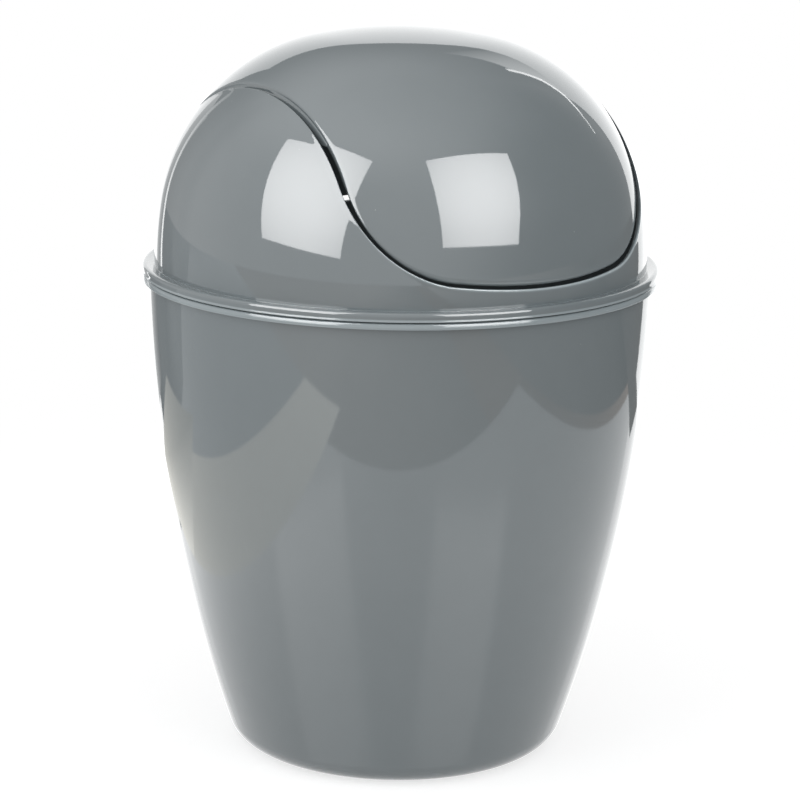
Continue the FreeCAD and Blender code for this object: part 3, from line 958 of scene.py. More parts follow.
@dataclass
class LidShape:
    """What the lid's two mouldings share: the two domes, the seam and the pivot.

    Attributes:
        flange_radius: Outside of the flange.
        seat_z: Underside of the flange.
        skirt_z: Lower edge of the skirt.
        top_z: Top of both domes.
        pivot_z: Height of the pivot.
        seam_half_width: Distance of the lobes' upright edges from the middle.
        flap_bottom_z: Lowest point of the flap's edge.
    """

    flange_radius: float
    seat_z: float
    skirt_z: float
    top_z: float
    pivot_z: float
    seam_half_width: float
    flap_bottom_z: float
    flange_height: float = 3.2 * MM
    ledge: float = 4.8 * MM
    collar_wall: float = 2.0 * MM
    flap_wall: float = 1.8 * MM
    flap_inset: float = 1.6 * MM
    seam_gap: float = 2.0 * MM
    side_play: float = 0.4 * MM
    seam_bottom_radius: float = 300.0 * MM
    seam_corner_radius: float = 35.5 * MM
    flap_lip: float = 0.2 * MM
    flap_lean: float = 0.0105
    collar_side_radius: float = 164.0 * MM
    collar_side_height: float = 24.0 * MM
    collar_crown_angle: float = math.radians(12.7)
    flap_side_radius: float = 173.0 * MM
    flap_side_height: float = 28.3 * MM
    flap_crown_angle: float = math.radians(11.2)

    @classmethod
    def from_frame(cls) -> "LidShape":
        """Read the overall sizes from the frame.

        Returns:
            The lid's shape, with the sizes that the frame doesn't tell left as they are here.
        """
        seat_gap = 0.3 * MM
        _, bucket_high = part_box("bin_body")
        collar_low, collar_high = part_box("lid_collar")
        flap_low, flap_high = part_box("swing_flap")
        hinge = next(joint for joint in frame["joints"] if joint["name"] == "flap_swing")
        return cls(flange_radius=collar_high.x, seat_z=bucket_high.z + seat_gap, skirt_z=collar_low.z,
                   top_z=flap_high.z, pivot_z=hinge["pos_m"][2],
                   seam_half_width=flap_high.x + cls.side_play, flap_bottom_z=flap_low.z)

    @property
    def flange_top(self) -> float:
        """Height of the flange's upper face, where both domes have their foot."""
        return self.seat_z + self.flange_height

    @property
    def collar_dome(self) -> Dome:
        """Outside of the collar."""
        return Dome(self.flange_radius - self.ledge, self.flange_top, self.top_z,
                    self.collar_side_radius, self.collar_side_height, self.collar_crown_angle)

    @property
    def flap_dome(self) -> Dome:
        """Outside of the flap, a little inside the collar at the foot."""
        return Dome(self.flange_radius - self.ledge - self.flap_inset, self.flange_top, self.top_z,
                    self.flap_side_radius, self.flap_side_height, self.flap_crown_angle)

    @property
    def collar_seam(self) -> SeamOutline:
        """The collar's side of the seam."""
        return SeamOutline(self.seam_half_width, self.flap_bottom_z - self.seam_gap,
                           self.seam_bottom_radius, self.seam_corner_radius)

    @property
    def flap_seam(self) -> SeamOutline:
        """The flap's side of the seam, inside the collar's by the gap, with a lip lower at the front."""
        return SeamOutline(self.seam_half_width - self.seam_gap, self.flap_bottom_z - self.flap_lip,
                           self.seam_bottom_radius - self.seam_gap, self.seam_corner_radius - self.seam_gap,
                           self.flap_lean)

    def wall(self, dome: Dome, seam: SeamOutline, turns: Array, wall: float, start: float,
             edge: SeamEdge, upwards: bool) -> tuple[Array, Array]:
        """A dome's wall beside the seam: outside, rounded edge and inside.

        The outside rolls in towards the edge by a bell curve of the distance square to the seam.

        Args:
            dome: Outside of the wall.
            seam: The edge that the wall ends at.
            turns: Angles of the columns.
            wall: Thickness.
            start: Distance along the dome at which the outside starts.
            edge: How the wall ends at the seam.
            upwards: Whether the wall ends at the seam coming from the foot, or from the crown.

        Returns:
            Radius and height of shape (rows, columns, 2), outside first, and the strength of the edge's
            painted highlight of shape (rows, columns).
        """
        outer_rows, inner_rows, bend_rows, face_rows = 56, 30, 8, 4
        highlight_fade = 2.0
        finish = seam.meet(dome, turns)
        stretch = seam.stretch(dome, turns)
        toward = 1.0 if upwards else -1.0
        inner_finish = seam.meet(dome, turns, wall) - toward * edge.undercut * (stretch - 1.0 / stretch)
        foot = seam.nearness(dome.at(finish)[:, 1])
        rounding = edge.rounding(foot)
        leave = finish - toward * rounding * stretch * (1.0 + edge.slide * foot)
        share = eased(outer_rows)[:, None]
        length = start + (leave - start) * share
        square = np.abs(finish - length) / stretch
        rolled = edge.roll_depth * np.exp(-(square / edge.roll_width) ** 2)
        outside = dome.at(length, rolled)
        sharp = dome.at(finish, edge.roll_depth)
        inner_sharp = dome.at(inner_finish, wall)
        face = inner_sharp - sharp
        bend = curve(outside[-1], sharp, sharp + face * rounding[:, None] / wall, bend_rows)
        inner_leave = inner_finish - toward * edge.inner_share * wall * stretch
        inner_length = start + (inner_leave - start) * share[::-1][:: outer_rows // inner_rows]
        inside = dome.at(inner_length, wall)
        inner_bend = curve(inner_sharp - face * edge.inner_share, inner_sharp, inside[0], bend_rows)
        flat = line_between(bend[-1], inner_bend[0], face_rows)
        rows = np.concatenate([outside, bend[1:], flat[1:-1], inner_bend, inside[1:]])
        # Painted highlight: full on the bend, fading away from the rounded edge over the outside, strongest
        # at the seam's foot.
        near = np.zeros(rows.shape[:2])
        near[:outer_rows] = np.exp(-highlight_fade * np.maximum(square / rounding - 1.0, 0.0))
        near[outer_rows:outer_rows + bend_rows] = 1.0
        return rows, near * edge.painted_highlight * np.sqrt(foot)


@dataclass
class LidCollar:
    """The lid's fixed moulding: skirt, flange, domed wall with two lobes, and the pivot bosses.

    Attributes:
        shape: What it shares with the flap.
        edge: How its wall ends at the seam.
        flange_lift: Height of the flange's inner end above the dome's foot.
        flange_rise: How much higher the flange's outer corner is.
        lip_height: Height above the seat up to which the flange is widest.
        lip_relief: How far the flange's underside rises towards its edge.
        flare: How far the lip stands out from the flange's edge above it.
        flare_height: Height over which it does so.
        cove: Radius of the hollow between the flange and the dome.
        lip_highlight: How much of the full painted highlight the lip shows.
    """

    shape: LidShape
    edge: SeamEdge = SeamEdge(foot_rounding=0.5 * MM, side_rounding=0.4 * MM, inner_share=0.6, painted_highlight=1.0,
                              roll_depth=-0.07 * MM, roll_width=0.9 * MM)
    skirt_wall: float = 1.8 * MM
    flange_rounding: float = 1.7 * MM
    flange_lift: float = 0.08 * MM
    flange_rise: float = 0.5 * MM
    lip_height: float = 0.42 * MM
    lip_relief: float = 0.16 * MM
    flare: float = 0.14 * MM
    flare_height: float = 0.65 * MM
    cove: float = 0.08 * MM
    lip_highlight: float = 0.5
    fine_rounding: float = 0.3 * MM
    boss_radius: float = 4.2 * MM
    bore_radius: float = 1.81 * MM
    bore_depth: float = 3.4 * MM
    columns: int = 448

    def rim(self) -> Array:
        """Outline from the inside of the wall round the skirt and the flange to the dome's foot.

        Returns:
            Radius and height of shape (rows, 2), ending at the top of the cove.
        """
        run, bend = 6, 7
        shape = self.shape
        dome = shape.collar_dome
        throat = dome.foot_radius - shape.collar_wall
        skirt = throat + self.skirt_wall
        side_x = dome.foot_radius - dome.side_radius
        reach = dome.side_radius + self.cove
        rise = self.flange_lift + self.cove
        cove_x = side_x + math.sqrt(reach ** 2 - rise ** 2)
        fine = self.fine_rounding
        top = shape.flange_top + self.flange_lift
        lip = shape.seat_z + self.lip_height
        neck = shape.flange_radius - self.flare
        straight = rounded_run(
            [(throat, shape.flange_top), (throat, shape.skirt_z), (skirt, shape.skirt_z),
             (skirt, shape.seat_z), (shape.flange_radius, shape.seat_z + self.lip_relief),
             (shape.flange_radius, lip), (neck, lip + self.flare_height),
             (neck, top + self.flange_rise), (cove_x, top)],
            [2.0 * fine, 2.0 * fine, fine, fine / 2.0, fine / 2.0, fine, self.flange_rounding], run, bend)
        touch = -HALF_TURN + math.asin(rise / reach)
        hollow = arc((cove_x, top + self.cove), self.cove, -QUARTER_TURN, touch, bend)
        return join(straight, hollow)

    def highlighted(self, rim: Array) -> Array:
        """Painted highlight of the rim's points.

        Args:
            rim: Radius and height of the rim's outline.

        Returns:
            The lip's painted highlight from the seat to the top of its flare, and none elsewhere.
        """
        lip_top = self.shape.seat_z + self.lip_height + self.flare_height
        on_lip = (rim[:, 0] > self.shape.flange_radius - 2.0 * self.flare) & (rim[:, 1] < lip_top)
        return np.where(on_lip, self.lip_highlight, 0.0)

    def surface(self) -> Surface:
        """The whole moulding as a loop of rows: rim, outside, edge and inside.

        Returns:
            A surface whose rows run round the wall's section and whose columns run round the lid.
        """
        shape = self.shape
        dome = shape.collar_dome
        turns = shape.collar_seam.columns(dome, self.columns)
        outline = self.rim()
        rim = np.repeat(outline[:, None, :], self.columns, axis=1)
        # The lip is painted lighter, as a highlight.
        highlighted = np.repeat(self.highlighted(outline)[:, None], self.columns, axis=1)
        rise = self.flange_lift + self.cove
        start = dome.side_radius * math.asin(rise / (dome.side_radius + self.cove))
        wall, near = shape.wall(dome, shape.collar_seam, turns, shape.collar_wall, start, self.edge, True)
        rows = np.concatenate([rim, wall[1:]])
        edge = np.concatenate([highlighted, near[1:]])
        return Surface(turned(rows, turns), loop=True, edge=edge)

    def boss(self) -> Surface:
        """A pivot boss on the right: a short tube from the lobe's wall to the seam, with a blind bore.

        Returns:
            A surface that starts at the bore's bottom and ends inside the wall, whose outer length
            follows the dome.
        """
        columns, bend = 40, 5
        shape = self.shape
        fine = self.fine_rounding
        tiny = 0.1 * MM
        start = shape.seam_half_width
        bottom = start + self.bore_depth
        section = rounded_run([(tiny, bottom), (self.bore_radius, bottom), (self.bore_radius, start),
                               (self.boss_radius, start), (self.boss_radius, start + 2.0 * fine)],
                              [fine / 2.0, fine, fine], bend, bend)
        turns = even_turns(columns)
        across = self.boss_radius * np.cos(turns)
        height = shape.pivot_z + self.boss_radius * np.sin(turns)
        middle = shape.collar_dome.radius_over(height, shape.collar_wall / 2.0)
        reach = np.sqrt(middle ** 2 - across ** 2)
        center = shape.collar_dome.radius_over(shape.pivot_z, shape.collar_wall / 2.0)
        tube = np.repeat(section[:, None, :], columns, axis=1)
        in_wall = np.stack([np.full(columns, self.boss_radius), reach], axis=-1)
        closing = np.broadcast_to([tiny, center], in_wall.shape)
        return Surface(about_pivot(np.concatenate([tube, [in_wall, closing]]), turns, shape.pivot_z))

    def build(self, material: bpy.types.Material) -> None:
        """Make and dress the collar and its bosses.

        Args:
            material: Their finish.
        """
        piece = self.surface().build("lid_collar_moulding")
        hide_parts("lid_collar")
        dress(piece, material, Body.LID)
        for side in Side:
            boss = self.boss().mirrored(side).build("pivot_boss_" + side.name.lower())
            dress(boss, material, Body.LID)


@dataclass
class SwingFlap:
    """The flap: a strip of dome that follows the seam, with a cheek and a hub at each side.

    Attributes:
        shape: What it shares with the collar.
        edge: How its wall ends at the seam.
        cheek_drop: How far the cheeks hang below the pivot.
        cheek_step: How far their outside lies inside the flap's upright edge.
    """

    shape: LidShape
    edge: SeamEdge = SeamEdge(foot_rounding=1.6 * MM, side_rounding=0.4 * MM, inner_share=0.08, painted_highlight=0.1,
                              roll_depth=0.12 * MM, roll_width=0.65 * MM, undercut=1.2 * MM, slide=0.45)
    cheek_wall: float = 2.0 * MM
    cheek_drop: float = 8.4 * MM
    cheek_step: float = 0.04 * MM
    hub_radius: float = 4.2 * MM
    hub_length: float = 3.6 * MM
    hub_bore: float = 1.77 * MM
    fine_rounding: float = 0.3 * MM
    columns: int = 640

    def surface(self) -> Surface:
        """The domed strip: inside from the crown to the edge, then outside back to the crown.

        Returns:
            A surface with a pole at the crown on each face.
        """
        shape = self.shape
        dome = shape.flap_dome
        near_crown = 0.6 * MM
        turns = shape.flap_seam.columns(dome, self.columns)
        start = dome.lengths()[-1] - near_crown
        wall, near = shape.wall(dome, shape.flap_seam, turns, shape.flap_wall, start, self.edge, False)
        return Surface(turned(wall[::-1], turns), edge=near[::-1])

    def cheek(self) -> Surface:
        """The right cheek: an upright plate from its lower edge up into the dome's wall.

        Returns:
            A surface whose columns run round the plate's section and whose rows run front to back;
            the section's top follows the dome and its ends close where the plate runs out.
        """
        rows, run, bend = 60, 3, 4
        shape = self.shape
        dome = shape.flap_dome
        outer = shape.seam_half_width - shape.seam_gap - self.cheek_step
        inner = outer - self.cheek_wall
        bottom = shape.pivot_z - self.cheek_drop
        least = 0.8 * MM
        sink = shape.flap_wall / 2.0
        reach = dome.radius_over(bottom + least, sink)
        half_length = math.sqrt(reach ** 2 - outer ** 2)
        section = rounded_run([(inner, 1.0), (inner, 0.0), (outer, 0.0), (outer, 1.0)],
                              [self.fine_rounding] * 2, run, bend)
        across = section[:, 0]
        lift = np.clip(section[:, 1], 0.0, 1.0)
        depth = half_length * np.cos(np.linspace(0.0, HALF_TURN, rows))
        top = dome.height_over(np.hypot(across[None, :], depth[:, None]), sink)
        low = np.minimum(section[:, 1], self.fine_rounding)
        straight = np.where(lift > self.fine_rounding, lift, 0.0)
        height = bottom + low + (top - bottom - self.fine_rounding) * straight
        points = np.stack(np.broadcast_arrays(across[None, :], depth[:, None], height), axis=-1)
        return Surface(points)

    def hub(self) -> Surface:
        """The right hub: a tube along the pivot, from inside the cheek to just short of the lobe.

        Returns:
            A loop of rows round the tube's wall.
        """
        columns, bend, run = 40, 5, 4
        shape = self.shape
        start = shape.seam_half_width - shape.seam_gap - self.cheek_wall - self.hub_length
        end = shape.seam_half_width - shape.side_play
        middle = (start + end) / 2.0
        fine = self.fine_rounding
        section = rounded_run([(self.hub_radius, middle), (self.hub_radius, end), (self.hub_bore, end),
                               (self.hub_bore, start), (self.hub_radius, start),
                               (self.hub_radius, middle - fine)], [fine] * 4, run, bend)
        return Surface(about_pivot(section, even_turns(columns), shape.pivot_z), loop=True)

    def build(self, material: bpy.types.Material) -> None:
        """Make and dress the flap, its cheeks and its hubs.

        Args:
            material: Their finish.
        """
        piece = self.surface().build("swing_flap_moulding")
        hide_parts("swing_flap")
        dress(piece, material, Body.FLAP)
        for side in Side:
            label = side.name.lower()
            cheek = self.cheek().mirrored(side).build("flap_cheek_" + label)
            dress(cheek, material, Body.FLAP)
            hub = self.hub().mirrored(side).build("flap_hub_" + label)
            dress(hub, material, Body.FLAP)


@dataclass
class PivotPins:
    """The two pivot pins, which stay as the frame has them and get a finer finish."""

    def build(self, material: bpy.types.Material) -> None:
        """Dress both pins.

        Args:
            material: Their finish.
        """
        for side in Side:
            pin = frame["nodes"]["pivot_pin_" + side.name.lower()]
            pin.data.materials.clear()
            pin.data.materials.append(material)
            log.info("%s: dressed", pin.name)


# Studio

@dataclass(frozen=True)
class Viewpoint:
    """Where the photograph was taken from.

    Attributes:
        azimuth: Turn of the camera about the bin's axis; 0 looks along +Y.
        stand_off: Level distance from the axis.
        eye_z: Height of the camera.
        aim_z: Height of the point in the middle of the picture.
        aside: How far camera and aim lie right of the axis.
        roll: Turn of the camera about its own line of sight.
        focal_pixels: Focal length in pixels of the picture's width.
        frame_pixels: Width of the picture.
    """

    azimuth: float = math.radians(-35.0)
    stand_off: float = 1149.9 * MM
    eye_z: float = 415.3 * MM
    aim_z: float = 138.18 * MM
    aside: float = 0.485 * MM
    roll: float = math.radians(0.778)
    focal_pixels: float = 2985.7
    frame_pixels: float = 800.0

    def turn(self) -> Matrix:
        """Turn from the studio's axes (X right of the camera, Y away from it) to the frame's."""
        return Matrix.Rotation(self.azimuth, 4, "Z")

    def build(self) -> None:
        """Make the camera."""
        sensor_mm, nearest, farthest = 36.0, 0.01, 100.0
        data = bpy.data.cameras.new("photo_camera")
        data.sensor_width = sensor_mm
        data.lens = self.focal_pixels / self.frame_pixels * sensor_mm
        data.clip_start, data.clip_end = nearest, farthest
        eye = Vector((self.aside, -self.stand_off, self.eye_z))
        aim = Vector((self.aside, 0.0, self.aim_z))
        look = (aim - eye).to_track_quat("-Z", "Y").to_matrix() @ Matrix.Rotation(self.roll, 3, "Z")
        pose = self.turn() @ Matrix.Translation(eye) @ look.to_4x4()
        bpy.context.scene.camera = stand("photo_camera", data, pose)


def lamp(name: str, kind: LampKind, power: float, pose: Matrix) -> bpy.types.Light:
    """Make a lamp that gloss doesn't see.

    Args:
        name: Name of the lamp.
        kind: Kind of lamp.
        power: Power in watts.
        pose: Place and turn of the lamp.

    Returns:
        The light, whose size is still to be set.
    """
    data = bpy.data.lights.new(name, kind.value)
    data.energy = power
    stand(name, data, pose).visible_glossy = False
    return data


def glow(name: str, tint: tuple[float, float, float], droop: float) -> bpy.types.Material:
    """Glow of a card: the brightness that its points carry, less a share towards the corners.

    Args:
        name: Name of the material.
        tint: Colour of the glow.
        droop: Share that is lost at the corners, with the square of the distance from the middle.

    Returns:
        The material.
    """
    material = bpy.data.materials.new(name)
    kit = bare_tree(material)
    place = kit.add("UVMap", uv_map=CARD_MAP).outputs[0]
    distance = kit.add("VectorMath", {0: place, 1: place}, operation="DOT_PRODUCT").outputs["Value"]
    kept = kit.math("MULTIPLY_ADD", distance, -droop / 2.0, 1.0)
    shine = kit.add("Attribute", attribute_name=SHINE_ATTRIBUTE).outputs["Fac"]
    strength = kit.math("MULTIPLY", shine, kept)
    emission = kit.add("Emission", {"Color": (*tint, 1.0), "Strength": strength}).outputs[0]
    kit.add("OutputMaterial", {"Surface": emission})
    material.cycles.emission_sampling = "NONE"
    return material


def gloss_only(stage_piece: bpy.types.Object) -> None:
    """Show a stage piece to gloss alone: no camera, shadow or light on the bin.

    Args:
        stage_piece: The card or surround.
    """
    stage_piece.visible_camera = False
    stage_piece.visible_diffuse = False
    stage_piece.visible_transmission = False
    stage_piece.visible_shadow = False


@dataclass(frozen=True)
class Card:
    """A flat card that only gloss sees: the face of a lamp, a backdrop, or a dim part of the room.

    Attributes:
        name: Name of the card.
        corners: Lower left, lower right, upper right and upper left corner in the card's own plane.
        shine: Brightness at each corner, 1 being white.
        droop: Share of the brightness that is lost towards the corners.
        tint: Colour of the card.
    """

    name: str
    corners: Corners
    shine: tuple[float, float, float, float]
    droop: float = 0.0
    tint: tuple[float, float, float] = WHITE[:3]

    def build(self, pose: Matrix) -> None:
        """Make the card, in the XY plane of a pose.

        Args:
            pose: Place and turn of the card in the frame.
        """
        signs = np.array([[-1.0, -1.0], [1.0, -1.0], [1.0, 1.0], [-1.0, 1.0]])
        mesh = flat_mesh(self.name, self.corners)
        mesh.uv_layers.new(name=CARD_MAP).uv.foreach_set("vector", signs.astype(np.float32).ravel())
        set_points(mesh, SHINE_ATTRIBUTE, self.shine)
        mesh.transform(pose)
        mesh.materials.append(glow(self.name, self.tint, self.droop))
        gloss_only(stand(self.name, mesh))


def oblong(low_x: float, high_x: float, low_y: float, high_y: float) -> Corners:
    """Corners of an upright rectangle."""
    return (low_x, low_y), (high_x, low_y), (high_x, high_y), (low_x, high_y)


def strip(start: Point, end: Point, width: float) -> Corners:
    """Corners of a narrow band along a line.

    Args:
        start: Where the line starts.
        end: Where it ends.
        width: Width of the band.

    Returns:
        The line's ends, moved half the width to each side.
    """
    first, last = np.asarray(start), np.asarray(end)
    along = (last - first) / np.linalg.norm(last - first)
    aside = np.array([along[1], -along[0]]) * width / 2.0
    return tuple(map(tuple, (first - aside, first + aside, last + aside, last - aside)))


def smooth_step(value: Array, low: float, high: float) -> Array:
    """A step from 0 to 1 between two values: three squares less two cubes of the share of the way."""
    share = np.clip((value - low) / (high - low), 0.0, 1.0)
    return share ** 2 * (3.0 - 2.0 * share)


def flat_bell(distance: Array) -> Array:
    """A bell with a flat top: e to the power of minus the distance's fourth power."""
    return np.exp(-distance ** 4)


@dataclass(frozen=True)
class Surround:
    """The room as gloss sees it: half a ball round the bin, dark at the right and light overhead.

    Attributes:
        radius: Radius of the half ball.
        wall: Brightness of the walls, where 1 is white.
        ceiling: Brightness overhead.
        ceiling_slope: How much brighter the ceiling gets towards the front and the left.
        dark_middle: Degrees right of the camera where the walls are darkest.
        dark_reach: Degrees to each side over which they lighten again.
        dark_share: Share of the brightness that they lose there.
        dark_foot: Degrees by which the dark stretch is wider at the horizon.
        foot_height: Degrees above the horizon at which it has its own width.
        dim_middle: Degrees right of the camera of a second, dimmer stretch.
        dim_reach: Degrees to each side over which that one lightens.
        dim_share: Share of the brightness that the dimmer stretch loses.
        back_reach: Degrees to each side of straight behind the bin over which the walls are dimmer.
        back_share: Share of the brightness that they lose there.
        ceiling_low: Degrees above the horizon at which the walls start to turn into the ceiling.
        ceiling_high: Degrees above the horizon at which the ceiling is reached.
    """

    radius: float = 2.6
    wall: float = 1.85
    ceiling: float = 1.85
    ceiling_slope: float = 1.5
    dark_middle: float = 102.0
    dark_reach: float = 50.0
    dark_share: float = 0.87
    dark_foot: float = 20.0
    foot_height: float = 24.0
    dim_middle: float = -138.0
    dim_reach: float = 26.0
    dim_share: float = 0.5
    back_reach: float = 62.0
    back_share: float = 0.82
    ceiling_low: float = 32.0
    ceiling_high: float = 68.0

    def brightness(self, azimuth: Array, elevation: Array) -> Array:
        """Brightness by direction, in degrees right of the camera and above the horizon.

        Args:
            azimuth: Degrees right of the camera.
            elevation: Degrees above the horizon.

        Returns:
            The walls less the greatest of three flat-topped bells, turning by a smooth step into the
            ceiling, which slopes evenly.
        """
        foot = 1.0 - smooth_step(elevation, 0.0, self.foot_height)
        dark_reach = self.dark_reach + self.dark_foot * foot
        straight_back = 180.0
        dark = self.dark_share * flat_bell((azimuth - self.dark_middle) / dark_reach)
        dim = self.dim_share * flat_bell((azimuth - self.dim_middle) / self.dim_reach)
        behind = self.back_share * flat_bell((straight_back - np.abs(azimuth)) / self.back_reach)
        step = smooth_step(elevation, self.ceiling_low, self.ceiling_high)
        loss = np.maximum(np.maximum(dark, dim), behind)
        turn = np.radians(azimuth)
        forward = (np.cos(turn) - np.sin(turn)) * np.cos(np.radians(elevation))
        ceiling = np.maximum(self.ceiling + self.ceiling_slope * forward, 0.0)
        return self.wall * (1.0 - loss) * (1.0 - step) + ceiling * step

    def build(self, view: Viewpoint) -> None:
        """Make the half ball, on a grid of azimuth by elevation.

        Args:
            view: The camera, which azimuths count from.
        """
        rows, columns, foot, top = 24, 96, -3.0, 88.0
        azimuth = np.linspace(-180.0, 180.0, columns, endpoint=False)[None, :]
        elevation = np.linspace(foot, top, rows)[:, None]
        side, rise = np.radians(azimuth), np.radians(elevation)
        points = np.stack(np.broadcast_arrays(np.sin(side) * np.cos(rise), -np.cos(side) * np.cos(rise),
                                              np.sin(rise)), axis=-1) * self.radius
        shine = np.broadcast_to(self.brightness(azimuth, elevation), points.shape[:2])
        ball = Surface(points).build("surround")
        poles = shine[[0, -1]].mean(axis=1)
        set_points(ball.data, SHINE_ATTRIBUTE, np.concatenate([shine.ravel(), poles]))
        ball.data.transform(view.turn())
        ball.data.materials.append(glow("surround", WHITE[:3], 0.0))
        gloss_only(ball)


@dataclass(frozen=True)
class Softbox:
    """A studio softbox: a lamp for the light and a card for what gloss shows of it.

    Attributes:
        name: Name of the softbox.
        azimuth: Degrees right of the camera, seen from the bin.
        elevation: Degrees above the horizon.
        corners: Corners of its face, lower left first and on anticlockwise.
        power: Power of the lamp in watts.
        distance: Distance from the bin's dome.
        shine: Brightness of the face, where 1 is white.
        droop: Share of the brightness that is lost towards the corners.
    """

    name: str
    azimuth: float
    elevation: float
    corners: Corners
    power: float
    distance: float = 0.65
    shine: float = 14.0
    droop: float = 0.35

    def pose(self, aim: Vector) -> Matrix:
        """Place and turn in the studio.

        Args:
            aim: The point that the softbox faces.

        Returns:
            The pose, with the face's own Z pointing away from the bin.
        """
        side, rise = math.radians(self.azimuth), math.radians(self.elevation)
        level = math.cos(rise)
        outwards = Vector((math.sin(side) * level, -math.cos(side) * level, math.sin(rise)))
        facing = outwards.to_track_quat("Z", "Y").to_matrix().to_4x4()
        return Matrix.Translation(aim + outwards * self.distance) @ facing

    def build(self, view: Viewpoint, aim: Vector) -> None:
        """Make the lamp and the card.

        Args:
            view: The camera, which the studio is set up round.
            aim: The point that the softbox faces.
        """
        pose = view.turn() @ self.pose(aim)
        light = lamp(self.name, LampKind.AREA, self.power, pose)
        light.shape = "RECTANGLE"
        light.size, light.size_y = np.ptp(np.asarray(self.corners), axis=0)
        Card(self.name + "_face", self.corners, (self.shine,) * 4, self.droop).build(pose)


@dataclass
class Studio:
    """White table and surround, soft light from both sides and above, and a dim room.

    Attributes:
        view: The camera that the studio is set up round.
        aim_z: Height of the point that the softboxes face.
        card_z: Height of the lowest card on the table.
        card_step: Step from one card to the next above it.
        ambient: Strength of the soft light from all round.
        table_near: Brightness of the table by the bin, as gloss sees it, painted low there as the bin's
            shade.
        table_shine: Its brightness further out.
        table_left: How many times brighter it is at the left.
    """

    view: Viewpoint
    aim_z: float = 230.0 * MM
    floor_reach: float = 6.0
    floor_z: float = -0.06 * MM
    card_z: float = -0.05 * MM
    card_step: float = 0.004 * MM
    ambient: float = 0.62
    top_z: float = 1.6
    top_power: float = 2.2
    top_size: float = 1.6
    inner_z: float = 0.17
    inner_radius: float = 0.03
    inner_power: float = 0.02
    table_near: float = 1.1
    table_shine: float = 1.6
    table_left: float = 1.5

    def floor(self) -> None:
        """A white floor that keeps the bin's shadow near it and shows a table's gloss to the bin."""
        reach = self.floor_reach
        mesh = flat_mesh("floor", oblong(-reach, reach, -reach, reach))
        mesh.transform(Matrix.Translation((0.0, 0.0, self.floor_z)))
        mesh.materials.append(self.floor_finish())
        stand("floor", mesh)

    def floor_finish(self) -> bpy.types.Material:
        """Matt white; for the camera it fades to plain white, and gloss sees a white polished table
        whose glow is painted darker near the bin, as the bin's shade.

        Returns:
            The floor's material.
        """
        matt, shade, shade_lift = (0.8, 0.8, 0.8, 1.0), (0.42, 0.42, 0.42, 1.0), 0.71
        fade_start, fade_end = 0.2, 0.6
        polish_roughness, polish_index = 0.2, 1.5
        glare_start, glare_end = 0.08, 0.22
        slant_start, slant_end = -0.30, 0.05
        material = bpy.data.materials.new("white_floor")
        kit = bare_tree(material)
        path = kit.add("LightPath").outputs
        bounce = kit.add("BsdfDiffuse", {"Color": matt}).outputs[0]
        shaded = kit.add("BsdfDiffuse", {"Color": shade}).outputs[0]
        lift = kit.add("Emission", {"Color": WHITE, "Strength": shade_lift}).outputs[0]
        near = kit.add("AddShader", {0: shaded, 1: lift}).outputs[0]
        plain = kit.add("Emission", {"Color": WHITE, "Strength": 1.0}).outputs[0]
        place = kit.add("TexCoord").outputs["Object"]
        distance = kit.add("VectorMath", {0: place}, operation="LENGTH").outputs["Value"]
        fade = kit.add("MapRange", {"Value": distance, "From Min": fade_start, "From Max": fade_end},
                       interpolation_type="SMOOTHSTEP").outputs[0]
        seen = kit.add("MixShader", {"Fac": fade, 1: near, 2: plain}).outputs[0]
        polish = kit.add("BsdfGlossy", {"Color": WHITE, "Roughness": polish_roughness}).outputs[0]
        mirror = kit.add("Fresnel", {"IOR": polish_index}).outputs[0]
        # The table's glow is painted darker near the bin, as the bin's shade on it.
        glare = kit.add("MapRange", {"Value": distance, "From Min": glare_start, "From Max": glare_end,
                                     "To Min": self.table_near, "To Max": self.table_shine}).outputs[0]
        aside = kit.add("VectorMath", {0: place, 1: self.view.turn() @ Vector((1.0, 0.0, 0.0))},
                        operation="DOT_PRODUCT").outputs["Value"]
        slant = kit.add("MapRange", {"Value": aside, "From Min": slant_start, "From Max": slant_end,
                                     "To Min": self.table_left, "To Max": 1.0},
                        interpolation_type="SMOOTHSTEP").outputs[0]
        strength = kit.math("MULTIPLY", glare, slant)
        lit = kit.add("Emission", {"Color": WHITE, "Strength": strength}).outputs[0]
        table = kit.add("MixShader", {"Fac": mirror, 1: lit, 2: polish}).outputs[0]
        glossed = kit.add("MixShader", {"Fac": path["Is Glossy Ray"], 1: bounce, 2: table}).outputs[0]
        mix = kit.add("MixShader", {"Fac": path["Is Camera Ray"], 1: glossed, 2: seen}).outputs[0]
        kit.add("OutputMaterial", {"Surface": mix})
        material.cycles.emission_sampling = "NONE"
        return material

    def world(self) -> None:
        """White where the camera, gloss or glass sees it, and plain soft light elsewhere."""
        world = bpy.data.worlds.new("studio")
        bpy.context.scene.world = world
        kit = bare_tree(world)
        path = kit.add("LightPath").outputs
        mirrored = kit.math("ADD", path["Is Glossy Ray"], path["Is Transmission Ray"])
        seen = kit.math("ADD", path["Is Camera Ray"], mirrored, clamp=True)
        soft = kit.add("Background", {"Color": WHITE, "Strength": self.ambient}).outputs[0]
        plain = kit.add("Background", {"Color": WHITE, "Strength": 1.0}).outputs[0]
        mix = kit.add("MixShader", {"Fac": seen, 1: soft, 2: plain}).outputs[0]
        kit.add("OutputWorld", {"Surface": mix})

    def softboxes(self) -> list[Softbox]:
        """The two softboxes at the front.

        Returns:
            The softboxes, whose faces stand a little askew.
        """
        left = (-0.162, -0.317), (0.332, -0.342), (0.292, 0.260), (-0.234, 0.246)
        right = (-0.255, -0.282), (0.192, -0.303), (0.237, 0.204), (-0.208, 0.258)
        return [
            Softbox("softbox_left", azimuth=-50.0, elevation=28.0, corners=left, power=1.2),
            Softbox("softbox_right", azimuth=38.0, elevation=26.5, corners=right, power=0.9),
        ]

